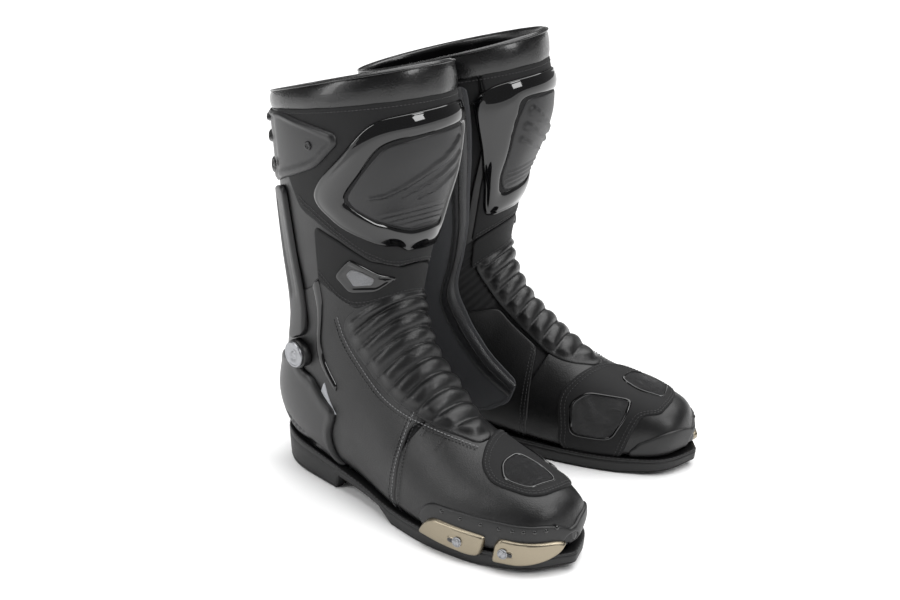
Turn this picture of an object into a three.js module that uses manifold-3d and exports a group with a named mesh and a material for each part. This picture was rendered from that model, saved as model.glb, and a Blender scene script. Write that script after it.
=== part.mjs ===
// A pair of motorcycle racing boots, standing side by side with their toes turned apart.
// Millimetres, +Z up. Each boot is drawn in a frame of its own: +X runs from heel to toe, the
// ground is at Z = 0 and the outer (lateral) side is at -Y. That is the right boot, and the left
// boot is its mirror image. Every shell of a boot is a slab on one last surface, at a distance
// from it that its layer sets, so the layers nest without touching.
import * as THREE from 'three';
import Module from 'manifold-3d';

const wasm = await Module();
wasm.setup();

// ---------- driving dimensions ----------
const FOOT_LENGTH = 319; // heel line to toe tip
const BOOT_HEIGHT = 374; // ground to the front of the top line
const BALL_WIDTH = 99; // widest across the upper of the forefoot
const CALF_WIDTH = 123; // widest across the shaft

const GAP = 0.35; // between one shell and the next
const LINING = 1.6; // thickness of the padded lining
const LEATHER = 1.4; // thickness of a leather or fabric panel
const ARMOUR = 2.4; // thickness of a moulded shell
const RIB_HEIGHT = 3.2; // of the padded ribs on the instep
const RIB_COUNT = 8;
const FOOTBED = 3.0; // thickness of the loose footbed
const BOARD = 1.8; // thickness of the insole board

const SOLE_WALL = 2.6; // how far the sole stands out past the upper at the forefoot
const HEEL_WALL = 3.2; // and round the heel
const SOLE_LEVEL = 14; // top of the sole at the ball
const HEEL_RISE = 16; // how much higher the sole's edge is at the heel
const TOE_RISE = 2; // how much higher it is at the toe
const ARCH_CLEARANCE = 13; // ground to the underside at the arch
const HEEL_FRONT = 92; // heel breast, from the back of the heel
const TREAD_START = 172; // where the forefoot meets the ground
const TOE_SPRING = 6; // ground to the sole at the toe tip

const PIVOT = { x: 54, z: 116 }; // ankle hinge, in side view
const DISC_RADIUS = 11;
const DISC_THICKNESS = 3;
const STEM_RADIUS = 4;
const BOSS_RADIUS = 8; // of the heel cup's boss under the hinge
const LUG_RADIUS = 12.5; // of the eye of the ankle strut
const LUG_THICKNESS = 3;
const PIVOT_CLEARANCE = 0.8;

const SCREW_HEAD_RADIUS = 4.2;
const SCREW_HEAD_HEIGHT = 1.8;
const SCREW_SHANK_RADIUS = 2;
const SCREW_CLEARANCE = 0.5;
const SLIDER = 3; // thickness of the metal toe sliders
const SLIDER_DROP = 3; // how far they reach below the sole's top edge

const ZIP_CHAIN_WIDTH = 9;
const ZIP_SLIDER = { length: 11, width: 9, height: 3.2 };
const ZIP_PULLER = { length: 19, width: 6, thickness: 1.6 };
const ZIP_CLEARANCE = 1.2;

// Rays from the ankle hinge, in degrees above the horizontal, that keep the rigid shells of the
// foot and of the shaft apart while the ankle bends.
const FOOT_EDGE = { front: 8, back: -13 };
const SHAFT_EDGE = { front: 32, back: 5 };

const PLACE = {
  right: { x: -162.55, y: 62.25, turn: -47.3 },
  left: { x: -110.55, y: 142.25, turn: -23.2 },
};

// ---------- the last ----------
// Sections of the pattern boot from the toe (0) to the top (16). Each one is a rounded ring
// hung between its front or upper point and its back or lower point, seen from the side.
const PATTERN = { length: 319, height: 374, ball: 99, calf: 123, ankle: 130 };
// front x, front z, back x, back z, outer half, inner half, swing, fullness, upper round, lower round
const SECTIONS = [
  [319, 25, 319, 25, 0, 0, 8, 0.6, 2, 2],
  [311, 50, 300, 16, 28, 28, 7, 0.62, 2.2, 3],
  [292, 61, 279, 12, 40, 38, 6, 0.66, 2.3, 3.6],
  [262, 69, 245, 10, 49, 45, 4, 0.7, 2.2, 4],
  [231, 78, 208, 10, 52, 47, 2, 0.72, 2.1, 4.2],
  [200, 93, 165, 12, 48, 45, 0, 0.72, 2, 4],
  [178, 112, 121, 15, 43, 43, 0, 0.7, 2, 3.6],
  [158, 131, 72, 18, 42, 41, 0, 0.66, 2, 3.2],
  [144, 153, 20, 21, 43, 42, 0, 0.58, 2.1, 2.6],
  [137, 176, -7, 49, 44, 44, 0, 0.54, 2.1, 2.3],
  [139, 201, 0, 95, 46, 45, 0, 0.5, 2.2, 2.1],
  [145, 228, 8, 142, 48, 48, 0, 0.5, 2.3, 2.1],
  [154, 257, 10, 193, 54, 53, 0, 0.5, 2.3, 2.1],
  [166, 288, 8, 244, 59, 58, 0, 0.5, 2.3, 2.1],
  [172, 319, 5, 291, 62, 61, 0, 0.5, 2.2, 2.1],
  [168, 347, 3, 318, 62, 61, 0, 0.5, 2.1, 2.1],
  [165, 374, 3, 330, 59, 59, 0, 0.5, 2.1, 2.1],
];
const TOP = SECTIONS.length - 1;

const radians = THREE.MathUtils.degToRad;

// grades one pattern section to the wanted size, as a shoemaker grades a pattern
function grade([fx, fz, bx, bz, outer, inner, swing, ...rounds], row) {
  const long = (x) => (x * FOOT_LENGTH) / PATTERN.length;
  const tall = (z) => {
    const stretch = (BOOT_HEIGHT - PATTERN.ankle) / (PATTERN.height - PATTERN.ankle);
    return z < PATTERN.ankle ? z : PATTERN.ankle + (z - PATTERN.ankle) * stretch;
  };
  const shaft = THREE.MathUtils.smoothstep(row, 6, 11);
  const wide = THREE.MathUtils.lerp(BALL_WIDTH / PATTERN.ball, CALF_WIDTH / PATTERN.calf, shaft);
  return [long(fx), tall(fz), long(bx), tall(bz), outer * wide, inner * wide, swing, ...rounds];
}
const LAST = SECTIONS.map(grade);

// a smooth value between the sections
function section(s) {
  const i = Math.min(Math.floor(s), TOP - 1);
  const t = s - i;
  const row = (k) => LAST[THREE.MathUtils.clamp(k, 0, TOP)];
  return row(i).map((p1, k) => {
    const [p0, p2, p3] = [row(i - 1)[k], row(i + 1)[k], row(i + 2)[k]];
    const [v0, v1] = [(p2 - p0) / 2, (p3 - p1) / 2];
    return ((2 * p1 - 2 * p2 + v0 + v1) * t + (-3 * p1 + 3 * p2 - 2 * v0 - v1)) * t * t + v0 * t + p1;
  });
}

// the point at section s and angle deg: 0 is the front, + the outer side, - the inner, 180 the back
function last(s, deg) {
  const [fx, fz, bx, bz, outer, inner, swing, fullness, upper, lower] = section(s);
  const angle = radians(((((deg + 180) % 360) + 360) % 360) - 180);
  const above = Math.abs(angle) <= Math.PI / 2;
  const power = 2 / (above ? upper : lower);
  const c = Math.abs(Math.cos(angle)) ** power;
  const across = Math.abs(Math.sin(angle)) ** power * Math.sign(angle);
  const down = above ? fullness * (1 - c) : fullness + (1 - fullness) * c;
  const y = -(angle < 0 ? inner : outer) * across + swing;
  return new THREE.Vector3(fx + (bx - fx) * down, y, fz + (bz - fz) * down);
}

// ---------- the facets that all shells share ----------
const ROWS = [0, 0.3, 0.8, 1.4, 2.2, 3, 4, 5, 6, 7, 8, 9, 10, 11, 12, 13, 14, 15, 16];
const COLUMN = 20; // degrees from one column of facets to the next
const TINY = 1e-9;

function gridNormal(s, deg) {
  if (s < TINY) return new THREE.Vector3(1, 0, 0);
  const step = 0.05;
  const along = last(Math.min(s + step, TOP), deg).sub(last(s - step, deg));
  const around = last(s, deg + 6).sub(last(s, deg - 6));
  return along.cross(around).normalize();
}

const corners = new Map();
function corner(i, j) {
  const column = ((j % (360 / COLUMN)) + 360 / COLUMN) % (360 / COLUMN);
  const key = `${i},${column}`;
  if (!corners.has(key)) {
    const [s, deg] = [ROWS[i], column * COLUMN];
    corners.set(key, { point: last(s, deg), normal: gridNormal(s, deg) });
  }
  return corners.get(key);
}

// which facet cell holds a place
function cellOf(s, deg) {
  let i = 0;
  while (i < ROWS.length - 2 && s >= ROWS[i + 1]) i += 1;
  return { i, j: Math.floor(deg / COLUMN) };
}

// the point of the facetted last at a place, moved out along the normal by an offset
function skin(s, deg, offset = 0, cell = cellOf(s, deg)) {
  const { i, j } = cell;
  const u = (s - ROWS[i]) / (ROWS[i + 1] - ROWS[i]);
  const v = deg / COLUMN - j;
  const weights = u + v <= 1
    ? [[corner(i, j), 1 - u - v], [corner(i + 1, j), u], [corner(i, j + 1), v]]
    : [[corner(i + 1, j + 1), u + v - 1], [corner(i, j + 1), 1 - u], [corner(i + 1, j), 1 - v]];
  const place = new THREE.Vector3();
  for (const [{ point, normal }, weight] of weights) {
    place.addScaledVector(point, weight).addScaledVector(normal, weight * offset);
  }
  return place;
}

function skinNormal(s, deg) {
  return skin(s, deg, 1).sub(skin(s, deg)).normalize();
}

// ---------- slabs on the last ----------
// the part of a polygon where side(p) is not negative
function clip(polygon, side) {
  const kept = [];
  polygon.forEach((a, k) => {
    const b = polygon[(k + 1) % polygon.length];
    const [fa, fb] = [side(a), side(b)];
    if (fa >= -TINY) kept.push(a);
    if ((fa > TINY && fb < -TINY) || (fa < -TINY && fb > TINY)) {
      const t = fa / (fa - fb);
      kept.push([a[0] + (b[0] - a[0]) * t, a[1] + (b[1] - a[1]) * t]);
    }
  });
  return kept;
}

function area(polygon) {
  return polygon.reduce((sum, [x, y], k) => {
    const [nx, ny] = polygon[(k + 1) % polygon.length];
    return sum + (x * ny - nx * y) / 2;
  }, 0);
}

// cuts an outline of [section, degrees] corners into polygons that each lie in one facet
function facets(outline, extraRows) {
  const pieces = [];
  const keep = (part, cell) => {
    if (part.length > 2 && Math.abs(area(part)) > 1e-6) pieces.push({ part, cell });
  };
  const loop = area(outline) > 0 ? outline : outline.toReversed();
  const levels = [...new Set([...ROWS, ...extraRows])].sort((a, b) => a - b);
  const degrees = outline.map((p) => p[1]);
  const first = Math.floor(Math.min(...degrees) / COLUMN);
  const end = Math.ceil(Math.max(...degrees) / COLUMN);
  for (const [k, low] of levels.slice(0, -1).entries()) {
    const high = levels[k + 1];
    const row = clip(clip(loop, (p) => p[0] - low), (p) => high - p[0]);
    for (let j = first; j < end; j += 1) {
      const part = clip(clip(row, (p) => p[1] - j * COLUMN), (p) => (j + 1) * COLUMN - p[1]);
      const cell = cellOf((low + high) / 2, (j + 0.5) * COLUMN);
      const span = ROWS[cell.i + 1] - ROWS[cell.i];
      const diagonal = (p) => (p[0] - ROWS[cell.i]) / span + p[1] / COLUMN - j - 1;
      keep(clip(part, diagonal), cell);
      keep(clip(part, (p) => -diagonal(p)), cell);
    }
  }
  return pieces;
}

// a closed slab on one outline, or on several that share edges, between two offsets; the outer
// offset may be a function of the section
function slab(outlines, inner, outer, extraRows = []) {
  const loops = Array.isArray(outlines[0][0]) ? outlines : [outlines];
  const outerAt = typeof outer === 'function' ? outer : () => outer;
  const ids = new Map();
  const [under, over] = [[], []];
  const idOf = ([s, deg], cell) => {
    const key = skin(s, deg, 0, cell).toArray().map((value) => Math.round(value * 1000)).join();
    if (!ids.has(key)) {
      ids.set(key, under.length);
      under.push(skin(s, deg, inner, cell));
      over.push(skin(s, deg, outerAt(s), cell));
    }
    return ids.get(key);
  };
  const faces = [];
  for (const { part, cell } of loops.flatMap((loop) => facets(loop, extraRows))) {
    const ring = part.map((p) => ({ p, id: idOf(p, cell) }));
    const clean = ring.filter(({ id }, k) => id !== ring.at(k - 1).id);
    if (clean.length > 2) {
      const flat = clean.map(({ p }) => new THREE.Vector2(...p));
      for (const face of THREE.ShapeUtils.triangulateShape(flat, [])) {
        faces.push(face.map((k) => clean[k].id));
      }
    }
  }
  const edges = new Set(faces.flatMap(([a, b, c]) => [`${a},${b}`, `${b},${c}`, `${c},${a}`]));
  const count = under.length;
  const indices = [];
  for (const [a, b, c] of faces) indices.push(a + count, b + count, c + count, a, c, b);
  for (const edge of edges) {
    const [a, b] = edge.split(',').map(Number);
    if (!edges.has(`${b},${a}`)) indices.push(a, b, b + count, a, b + count, a + count);
  }
  return solid([...under, ...over].flatMap((point) => point.toArray()), indices);
}

// the outline between two edges that are given as functions of the angle
function band(lower, upper, from = -180, to = 180) {
  const steps = Math.ceil((to - from) / COLUMN);
  const angles = Array.from({ length: steps + 1 }, (_, k) => from + ((to - from) * k) / steps);
  return [
    ...angles.map((deg) => [lower(deg), deg]),
    ...angles.toReversed().map((deg) => [upper(deg), deg]),
  ];
}

// ---------- finding places on the last ----------
function solve(value, low, high) {
  let [a, b] = [low, high];
  for (let k = 0; k < 40; k += 1) {
    const middle = (a + b) / 2;
    if (value(middle) < 0) a = middle;
    else b = middle;
  }
  return (a + b) / 2;
}

// the section where the column at deg crosses a line bent at the ankle hinge
function rowOnRays(deg, { front, back }) {
  return solve((s) => {
    const { x, z } = last(s, deg);
    const ray = Math.tan(radians(x > PIVOT.x ? front : back));
    return z - PIVOT.z - ray * Math.abs(x - PIVOT.x);
  }, 4, 14);
}

// the section where the column at deg reaches x, along the foot
function rowAtX(deg, x) {
  return solve((s) => x - last(s, deg).x, 0.1, 9);
}

// top of the sole's edge
function soleTop(x) {
  const heel = 1 - THREE.MathUtils.smoothstep(x, 5, 190);
  const toe = THREE.MathUtils.smoothstep(x, 235, FOOT_LENGTH);
  return SOLE_LEVEL + HEEL_RISE * heel + TOE_RISE * toe;
}

// the angle at section s where a foot shell meets the sole's edge, on the outer or inner side
function soleAngle(s, side, clearance = GAP * 3) {
  return side * solve((deg) => {
    const { x, z } = last(s, side * deg);
    return soleTop(x) + clearance - z;
  }, 70, 178);
}

// the section at the back of the heel where a column meets the sole's edge
function soleRow(deg, clearance = GAP * 3) {
  return solve((s) => {
    const { x, z } = last(s, deg);
    return z - soleTop(x) - clearance;
  }, 6, 9.5);
}

// ---------- solids ----------
function solid(positions, indices) {
  const geometry = new THREE.BufferGeometry();
  geometry.setAttribute('position', new THREE.Float32BufferAttribute(positions, 3));
  geometry.setIndex(indices);
  return geometry;
}

// merges a three.js geometry's repeated corners
function weld(geometry) {
  const { position } = geometry.attributes;
  const ids = new Map();
  const positions = [];
  const remap = Array.from({ length: position.count }, (_, k) => {
    const point = [position.getX(k), position.getY(k), position.getZ(k)];
    const key = point.map((value) => Math.round(value * 1e4)).join();
    if (!ids.has(key)) {
      ids.set(key, positions.length / 3);
      positions.push(...point);
    }
    return ids.get(key);
  });
  const order = geometry.index ? [...geometry.index.array] : remap.map((_, k) => k);
  const indices = [];
  for (let k = 0; k < order.length; k += 3) {
    const triangle = order.slice(k, k + 3).map((n) => remap[n]);
    if (new Set(triangle).size === 3) indices.push(...triangle);
  }
  return solid(positions, indices);
}

function toManifold(geometry) {
  const welded = weld(geometry);
  return new wasm.Manifold(new wasm.Mesh({
    numProp: 3,
    vertProperties: new Float32Array(welded.attributes.position.array),
    triVerts: new Uint32Array(welded.index.array),
  }));
}

function fromManifold(manifold) {
  const mesh = manifold.getMesh();
  return solid([...mesh.vertProperties], [...mesh.triVerts]);
}

function join(first, ...others) {
  return fromManifold(others.reduce((sum, next) => sum.add(toManifold(next)), toManifold(first)));
}

function subtract(first, ...others) {
  return fromManifold(others.reduce((sum, next) => sum.subtract(toManifold(next)), toManifold(first)));
}

function intersect(first, second) {
  return fromManifold(toManifold(first).intersect(toManifold(second)));
}

// a prism on a plan outline of [x, y] corners, between two heights
function prism(outline, low, high) {
  const shape = new THREE.Shape(outline.map(([x, y]) => new THREE.Vector2(x, y)));
  const geometry = new THREE.ExtrudeGeometry(shape, { depth: high - low, bevelEnabled: false });
  return geometry.translate(0, 0, low);
}

// a turned solid whose axis runs outward from a place; profile is [radius, height] corners
function turned(profile, origin, direction, sides = 16) {
  const points = profile.map(([radius, height]) => new THREE.Vector2(radius, height));
  const geometry = new THREE.LatheGeometry(points, sides);
  const turn = new THREE.Quaternion().setFromUnitVectors(new THREE.Vector3(0, 1, 0), direction);
  return geometry.applyQuaternion(turn).translate(origin.x, origin.y, origin.z);
}

function rod(radius, low, high, origin, direction, sides = 16) {
  return turned([[0, low], [radius, low], [radius, high], [0, high]], origin, direction, sides);
}

// a slotted screw: shank, head and the slot across it
function screw(s, deg, seat) {
  const normal = skinNormal(s, deg);
  const origin = skin(s, deg, seat);
  const top = SCREW_HEAD_HEIGHT;
  const profile = [
    [0, -SLIDER + GAP], [SCREW_SHANK_RADIUS, -SLIDER + GAP], [SCREW_SHANK_RADIUS, GAP],
    [SCREW_HEAD_RADIUS, GAP], [SCREW_HEAD_RADIUS, top * 0.6], [SCREW_HEAD_RADIUS * 0.7, top], [0, top],
  ];
  const slot = new THREE.BoxGeometry(1, 1.2, SCREW_HEAD_RADIUS * 3)
    .translate(0, top, 0)
    .applyQuaternion(new THREE.Quaternion().setFromUnitVectors(new THREE.Vector3(0, 1, 0), normal))
    .translate(origin.x, origin.y, origin.z);
  return subtract(turned(profile, origin, normal), slot);
}

// ---------- layers, from the foot outward ----------
const layer = (inner, thickness) => ({ inner, outer: inner + thickness });
const LINED = layer(-GAP - LINING, LINING);
const BASE = layer(0, LEATHER);
const OVER = layer(BASE.outer + GAP, LEATHER);
const SHELL = layer(OVER.outer + GAP, ARMOUR);

// ---------- foot ----------
// the outlines of the two toe sliders, which reach down over the sole's wall
const sliderSeat = (rows) => rows.map((s) => [s, soleAngle(s, 1, -SLIDER_DROP)]);
const FRONT_SLIDER = [...sliderSeat([2.05, 1.4, 0.8, 0.5]), [0.42, 84], [0.8, 89], [1.4, 92], [1.95, 97]];
const REAR_SLIDER = [...sliderSeat([3.6, 3, 2.35]), [2.3, 99], [2.5, 94], [3.1, 91], [3.45, 96]];

// an outline made larger or smaller about its middle
function scaled(outline, factor) {
  const middle = [0, 1].map((k) => outline.reduce((sum, p) => sum + p[k], 0) / outline.length);
  return outline.map((p) => p.map((value, k) => middle[k] + (value - middle[k]) * factor));
}

const BOTTOM_EDGE = 120; // degrees, where the lasted upper turns under the foot
const SEAM_X = 176; // where the vamp and the quarters meet along the foot
const outward = new THREE.Vector3(0, -1, 0);

// the space inside the sole that the lasted upper fills
function footSpace() {
  const offset = BASE.outer + GAP;
  const count = 360 / COLUMN;
  const rows = ROWS.filter((s) => s <= 12);
  const rings = rows.map((s) => Array.from({ length: count }, (_, j) => skin(s, j * COLUMN, offset)));
  const points = [rings[0][0], ...rings.slice(1).flat(), skin(12, 0).lerp(skin(12, 180), 0.5)];
  const id = (i, j) => (i === 0 ? 0 : 1 + (i - 1) * count + (j % count));
  const end = rings.length - 1;
  const indices = [];
  for (let j = 0; j < count; j += 1) {
    for (let i = 0; i < end; i += 1) {
      if (i > 0) indices.push(id(i, j), id(i + 1, j), id(i, j + 1));
      indices.push(id(i + 1, j + 1), id(i, j + 1), id(i + 1, j));
    }
    indices.push(id(end, j), points.length - 1, id(end, j + 1));
  }
  return solid(points.flatMap((point) => point.toArray()), indices);
}

// the side view of the sole, from below the ground line up to its top edge
function soleSide(bottom, clearance) {
  const stations = [bottom[0][0], 20, 60, 110, 150, 190, 235, 262, 288, 310, bottom.at(-1)[0]];
  const outline = [...bottom, ...stations.toReversed().map((x) => [x, soleTop(x) + clearance])];
  const shape = new THREE.Shape(outline.map(([x, z]) => new THREE.Vector2(x, z)));
  return new THREE.ExtrudeGeometry(shape, { depth: 200, bevelEnabled: false })
    .rotateX(Math.PI / 2)
    .translate(0, 100, 0);
}

const SOLE_ENDS = [-40, FOOT_LENGTH + 20];

// a rubber cup sole with a heel block, a hollow arch and a low wall round the upper; the toe
// sliders sit in recesses in the wall
function outsole() {
  const rim = (s, deg, out) => {
    const normal = skinNormal(s, deg).setZ(0).normalize();
    const point = last(s, deg).addScaledVector(normal, BASE.outer + out);
    return [point.x, point.y];
  };
  const forefoot = [0.8, 1.4, 2.2, 3, 4, 5, 6, 7];
  const heel = [[8, 118], [8.4, 140], [8.5, 160], [8.5, 180], [8.5, 200], [8.4, 220], [8, 242]];
  const outline = [
    rim(0.05, 90, SOLE_WALL),
    ...forefoot.map((s) => rim(s, 100, SOLE_WALL)),
    ...heel.map(([s, deg]) => rim(s, deg, HEEL_WALL)),
    ...forefoot.toReversed().map((s) => rim(s, -100, SOLE_WALL)),
    rim(0.05, -90, SOLE_WALL),
  ];
  const profile = soleSide([
    [SOLE_ENDS[0], 0], [HEEL_FRONT, 0], [HEEL_FRONT + 5, ARCH_CLEARANCE],
    [TREAD_START - 18, ARCH_CLEARANCE - 4], [TREAD_START, 0], [262, 0],
    [FOOT_LENGTH, TOE_SPRING], [SOLE_ENDS[1], TOE_SPRING],
  ], 0);
  const recesses = [FRONT_SLIDER, REAR_SLIDER].map((edge) => slab(scaled(edge, 1.07), OVER.outer, 14));
  return subtract(intersect(prism(outline, -1, 60), profile), footSpace(), ...recesses);
}

// a shell cut off just above the sole's top edge
function seated(shell) {
  return subtract(shell, soleSide([[SOLE_ENDS[0], -60], [SOLE_ENDS[1], -60]], GAP));
}

function insoleBoard() {
  const edge = 139;
  const inner = LINED.inner - GAP - BOARD;
  return slab(band(() => 1.5, () => 8.1, edge, 360 - edge), inner, inner + BOARD);
}

function footbed() {
  const edge = 143;
  const outer = LINED.inner - GAP - BOARD - GAP;
  return slab(band(() => 1.9, () => 7.9, edge, 360 - edge), outer - FOOTBED, outer);
}

function footLining() {
  return slab(band(() => 0.3, (deg) => rowOnRays(deg, FOOT_EDGE)), LINED.inner, LINED.outer);
}

function vamp() {
  const seam = (deg) => Math.min(rowAtX(deg, SEAM_X + 3), 5.2);
  return slab(band(() => 0.3, seam, -BOTTOM_EDGE, BOTTOM_EDGE), BASE.inner, BASE.outer);
}

// the smooth leather round the outside of the ankle; it bends with the joint
function ankleQuarter() {
  const seam = (deg) => Math.min(rowAtX(deg, SEAM_X), 6.4);
  const outline = [
    [5.35, 34], ...[45, 60, 75, 90, 105, BOTTOM_EDGE].map((deg) => [seam(deg), deg]),
    [5.6, 132], [7, 140], [7.8, 150], [8.2, 165], [8.3, 180], [8.2, 194],
    [10.6, 205], [11, 180], [10.9, 150], [10.6, 110], [10.4, 70], [10.1, 40], [8, 34],
  ];
  return slab(outline, BASE.inner, BASE.outer);
}

function medialQuarter() {
  const upper = (deg) => Math.min(rowOnRays(deg, FOOT_EDGE), 9);
  const seam = (deg) => Math.min(rowAtX(deg, SEAM_X), 6.4);
  const degrees = [-40, -60, -75, -90, -105, -BOTTOM_EDGE];
  return slab([
    ...degrees.map((deg) => [seam(deg), deg]),
    [5.6, -132], [7, -140], [7.8, -150], [8.2, -160], [9, -160],
    ...degrees.toReversed().map((deg) => [upper(deg), deg]),
  ], BASE.inner, BASE.outer);
}

// padded ribs over the instep; they bend with the joint
function instepAccordion() {
  const [low, high] = [4.2, 9];
  const pitch = (high - low) / RIB_COUNT;
  const rows = Array.from({ length: RIB_COUNT * 2 - 1 }, (_, k) => low + ((k + 1) * pitch) / 2);
  const outer = (s) => {
    const phase = THREE.MathUtils.clamp((s - low) / pitch, 0, RIB_COUNT) % 1;
    return OVER.outer + RIB_HEIGHT * (1 - Math.abs(2 * phase - 1));
  };
  const outline = [
    [low, 6], [4.9, 24], [6.2, 42], [7.8, 48], [9.2, 58], [9.2, 46],
    [high - 0.1, -4], [high - 0.1, -38], [8.4, -33], [7, -29], [5.4, -30], [4.7, -24], [low, -4],
  ];
  return slab(outline, OVER.inner, outer, rows);
}

// the ankle hinge's axis, on the plane where the heel cup meets the eye of the strut
function pivotPoint() {
  const s = solve((row) => last(row, 98).z - PIVOT.z, 8, 11);
  return new THREE.Vector3(PIVOT.x, last(s, 98).y - SHELL.outer, PIVOT.z);
}

// a moulded cup round the heel, with a boss that carries the ankle hinge
function heelCup() {
  const seat = (s, side) => [s, (360 + soleAngle(s, side)) % 360];
  const back = [155, 180, 205].map((deg) => [soleRow(deg), deg]);
  const top = (deg) => rowOnRays(deg, FOOT_EDGE) - 0.1;
  const outline = [
    seat(6.6, 1), seat(7, 1), ...back, seat(7, -1),
    [7.6, 262], [8.8, 240], ...[220, 200, 180, 160, 140, 120, 108, 96].map((deg) => [top(deg), deg]),
    [8.4, 86], [7.4, 84],
  ];
  const shell = slab(outline, SHELL.inner, SHELL.outer);
  const inside = slab([[6, 60], [6, 150], [12, 150], [12, 60]], -30, SHELL.inner);
  const boss = subtract(rod(BOSS_RADIUS, -SHELL.outer - 4, -GAP, pivotPoint(), outward), inside);
  const clearance = rod(LUG_RADIUS + 2, -GAP, 30, pivotPoint(), outward);
  return seated(subtract(join(shell, boss), clearance));
}

// the rivet that the strut turns on
function pivotDisc() {
  const lug = LUG_THICKNESS + 2 * GAP;
  const face = lug + DISC_THICKNESS;
  const profile = [
    [0, 0], [STEM_RADIUS, 0], [STEM_RADIUS, lug], [DISC_RADIUS, lug],
    [DISC_RADIUS, face - 1.2], [DISC_RADIUS - 1.5, face], [0, face],
  ];
  return turned(profile, pivotPoint(), outward, 24);
}

// a rubber rand round the toe, longer on the outer side
function toeBumper() {
  const outer = [3.6, 3, 2.2, 1.4, 0.8].map((s) => [s, soleAngle(s, 1)]);
  const inner = [0.8, 1.4, 2.1].map((s) => [s, soleAngle(s, -1)]);
  const edge = [[2.2, -92], [1.6, -74], [0.9, -50], [0.45, -20], [0.4, 15], [0.9, 52], [1.9, 74], [3.4, 84]];
  const tip = [[0.3, 7 * COLUMN], [0, 7 * COLUMN], [0, -7 * COLUMN], [0.3, -7 * COLUMN]];
  return seated(slab([...outer, ...tip, ...inner, ...edge], OVER.inner, OVER.outer));
}

const SLIDER_SCREWS = { front: [1.4, 112], rear: [2.95, 111] };
const SLIDER_LAYER = layer(OVER.outer + GAP, SLIDER);

// a metal wear plate low on the outside of the toe, with a hole for its screw
function toeSlider(outline, [s, deg]) {
  const plate = slab(outline, SLIDER_LAYER.inner, SLIDER_LAYER.outer);
  const hole = SCREW_SHANK_RADIUS + SCREW_CLEARANCE;
  return subtract(plate, rod(hole, -10, 10, skin(s, deg, SLIDER_LAYER.outer), skinNormal(s, deg)));
}

// a patch over the top and inner side of the toe that takes the wear of the gear lever
function shiftPad() {
  const seat = [2.6, 3.2, 3.9].map((s) => [s, soleAngle(s, -1)]);
  const outline = [
    [2.1, 24], [3, 32], [3.5, 20], [4, 0], [4.3, -30], [4.5, -58], [4.1, -84],
    ...seat.toReversed(), [2.5, -80], [2.4, -50], [1.9, -40], [1.75, -10], [1.8, 12],
  ];
  return seated(slab(outline, OVER.inner, OVER.outer));
}

// ---------- shaft ----------
const COLLAR_SEAM = 15.05;
const zipLine = (s) => -62 - 12 * THREE.MathUtils.smoothstep(s, 10, 14) - 13 * (1 - THREE.MathUtils.smoothstep(s, 5, 8));
const ZIP_ROWS = [5.6, 6.4, 7.2, 8, 9, 10, 11, 12, 13, 14, 14.8];

function shaftLining() {
  return slab(band((deg) => rowOnRays(deg, SHAFT_EDGE), () => TOP - 0.1), LINED.inner, LINED.outer);
}

// the leather round the calf, open along the zip
function calfShell() {
  const free = COLLAR_SEAM - 0.08;
  const outline = [
    [10.3, -56], [10.3, 36], [10.6, 70], [10.8, 110], [11.1, 150], [11.2, 180], [10.8, 207], [10, 230], [10, 279],
    [12, 279], [free, 278], ...[250, 210, 170, 130, 90, 50, 10, -30].map((deg) => [free, deg]), [free, -56],
  ];
  return slab(outline, BASE.inner, BASE.outer);
}

function upperShinPanel() {
  const free = COLLAR_SEAM - 0.08;
  const outline = [
    [10.3, -48], [10.3, 9], [10.9, 39], [11.9, 68], [12.8, 97], [13.6, 108], [free, 112],
    ...[80, 50, 20, -10, -40, -54].map((deg) => [free, deg]), [13, -50],
  ];
  return slab(outline, OVER.inner, OVER.outer);
}

function lowerShinPanel() {
  return slab([
    [11, 84], [9.6, 46], [9.25, -4], [9.3, -42], [10.15, -46], [10.15, 9], [10.75, 39], [11.75, 68], [12.1, 84],
  ], OVER.inner, OVER.outer);
}

// the shin guard's rim and window, as pairs of [section, degrees] places all the way round
const GUARD = [
  [[13, 84], [12.8, 62]], [[13.8, 64], [13.3, 52]], [[14.5, 44], [13.95, 36]], [[14.7, 20], [14.1, 5]],
  [[14.75, -30], [14.15, -28]], [[14.6, -54], [13.7, -34]], [[14.1, -64], [13.2, -36]], [[13, -58], [12.6, -36]],
  [[12, -50], [12, -36]], [[11, -42], [11.5, -30]], [[10.75, -20], [11.4, -14]], [[10.75, 4], [11.4, 4]],
  [[11, 16], [11.6, 18]], [[11.2, 30], [11.8, 28]], [[11.6, 46], [12, 38]], [[12.3, 70], [12.5, 56]],
];

// the glossy guard that frames the shin
function shinFrame() {
  const quads = GUARD.map(([rim, window], k) => {
    const [nextRim, nextWindow] = GUARD[(k + 1) % GUARD.length];
    return [rim, nextRim, nextWindow, window];
  });
  return slab(quads, SHELL.inner, SHELL.outer);
}

function shinInsert() {
  const window = GUARD.map(([, place]) => place);
  return slab(scaled(window, 0.96), SHELL.inner, SHELL.outer - 0.6);
}

function ventBadge() {
  return slab([
    [10.9, 68], [11.1, 58], [10.7, 44], [10.25, 30], [9.95, 14], [9.9, 32], [10.2, 54],
  ], SHELL.inner, SHELL.outer);
}

// the calf plate over the back and the outer side, with two fingers at the back
function calfPlate() {
  const free = COLLAR_SEAM - 0.1;
  return slab([
    [free, 205], [free, 130], [free + 0.02, 104], [14.3, 66], [14.1, 65], [13.6, 80], [13.45, 95], [13.3, 130],
    [13.2, 205], [13.8, 205], [13.85, 150], [14.1, 146], [14.35, 150], [14.4, 205],
  ], SHELL.inner, SHELL.outer);
}

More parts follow.
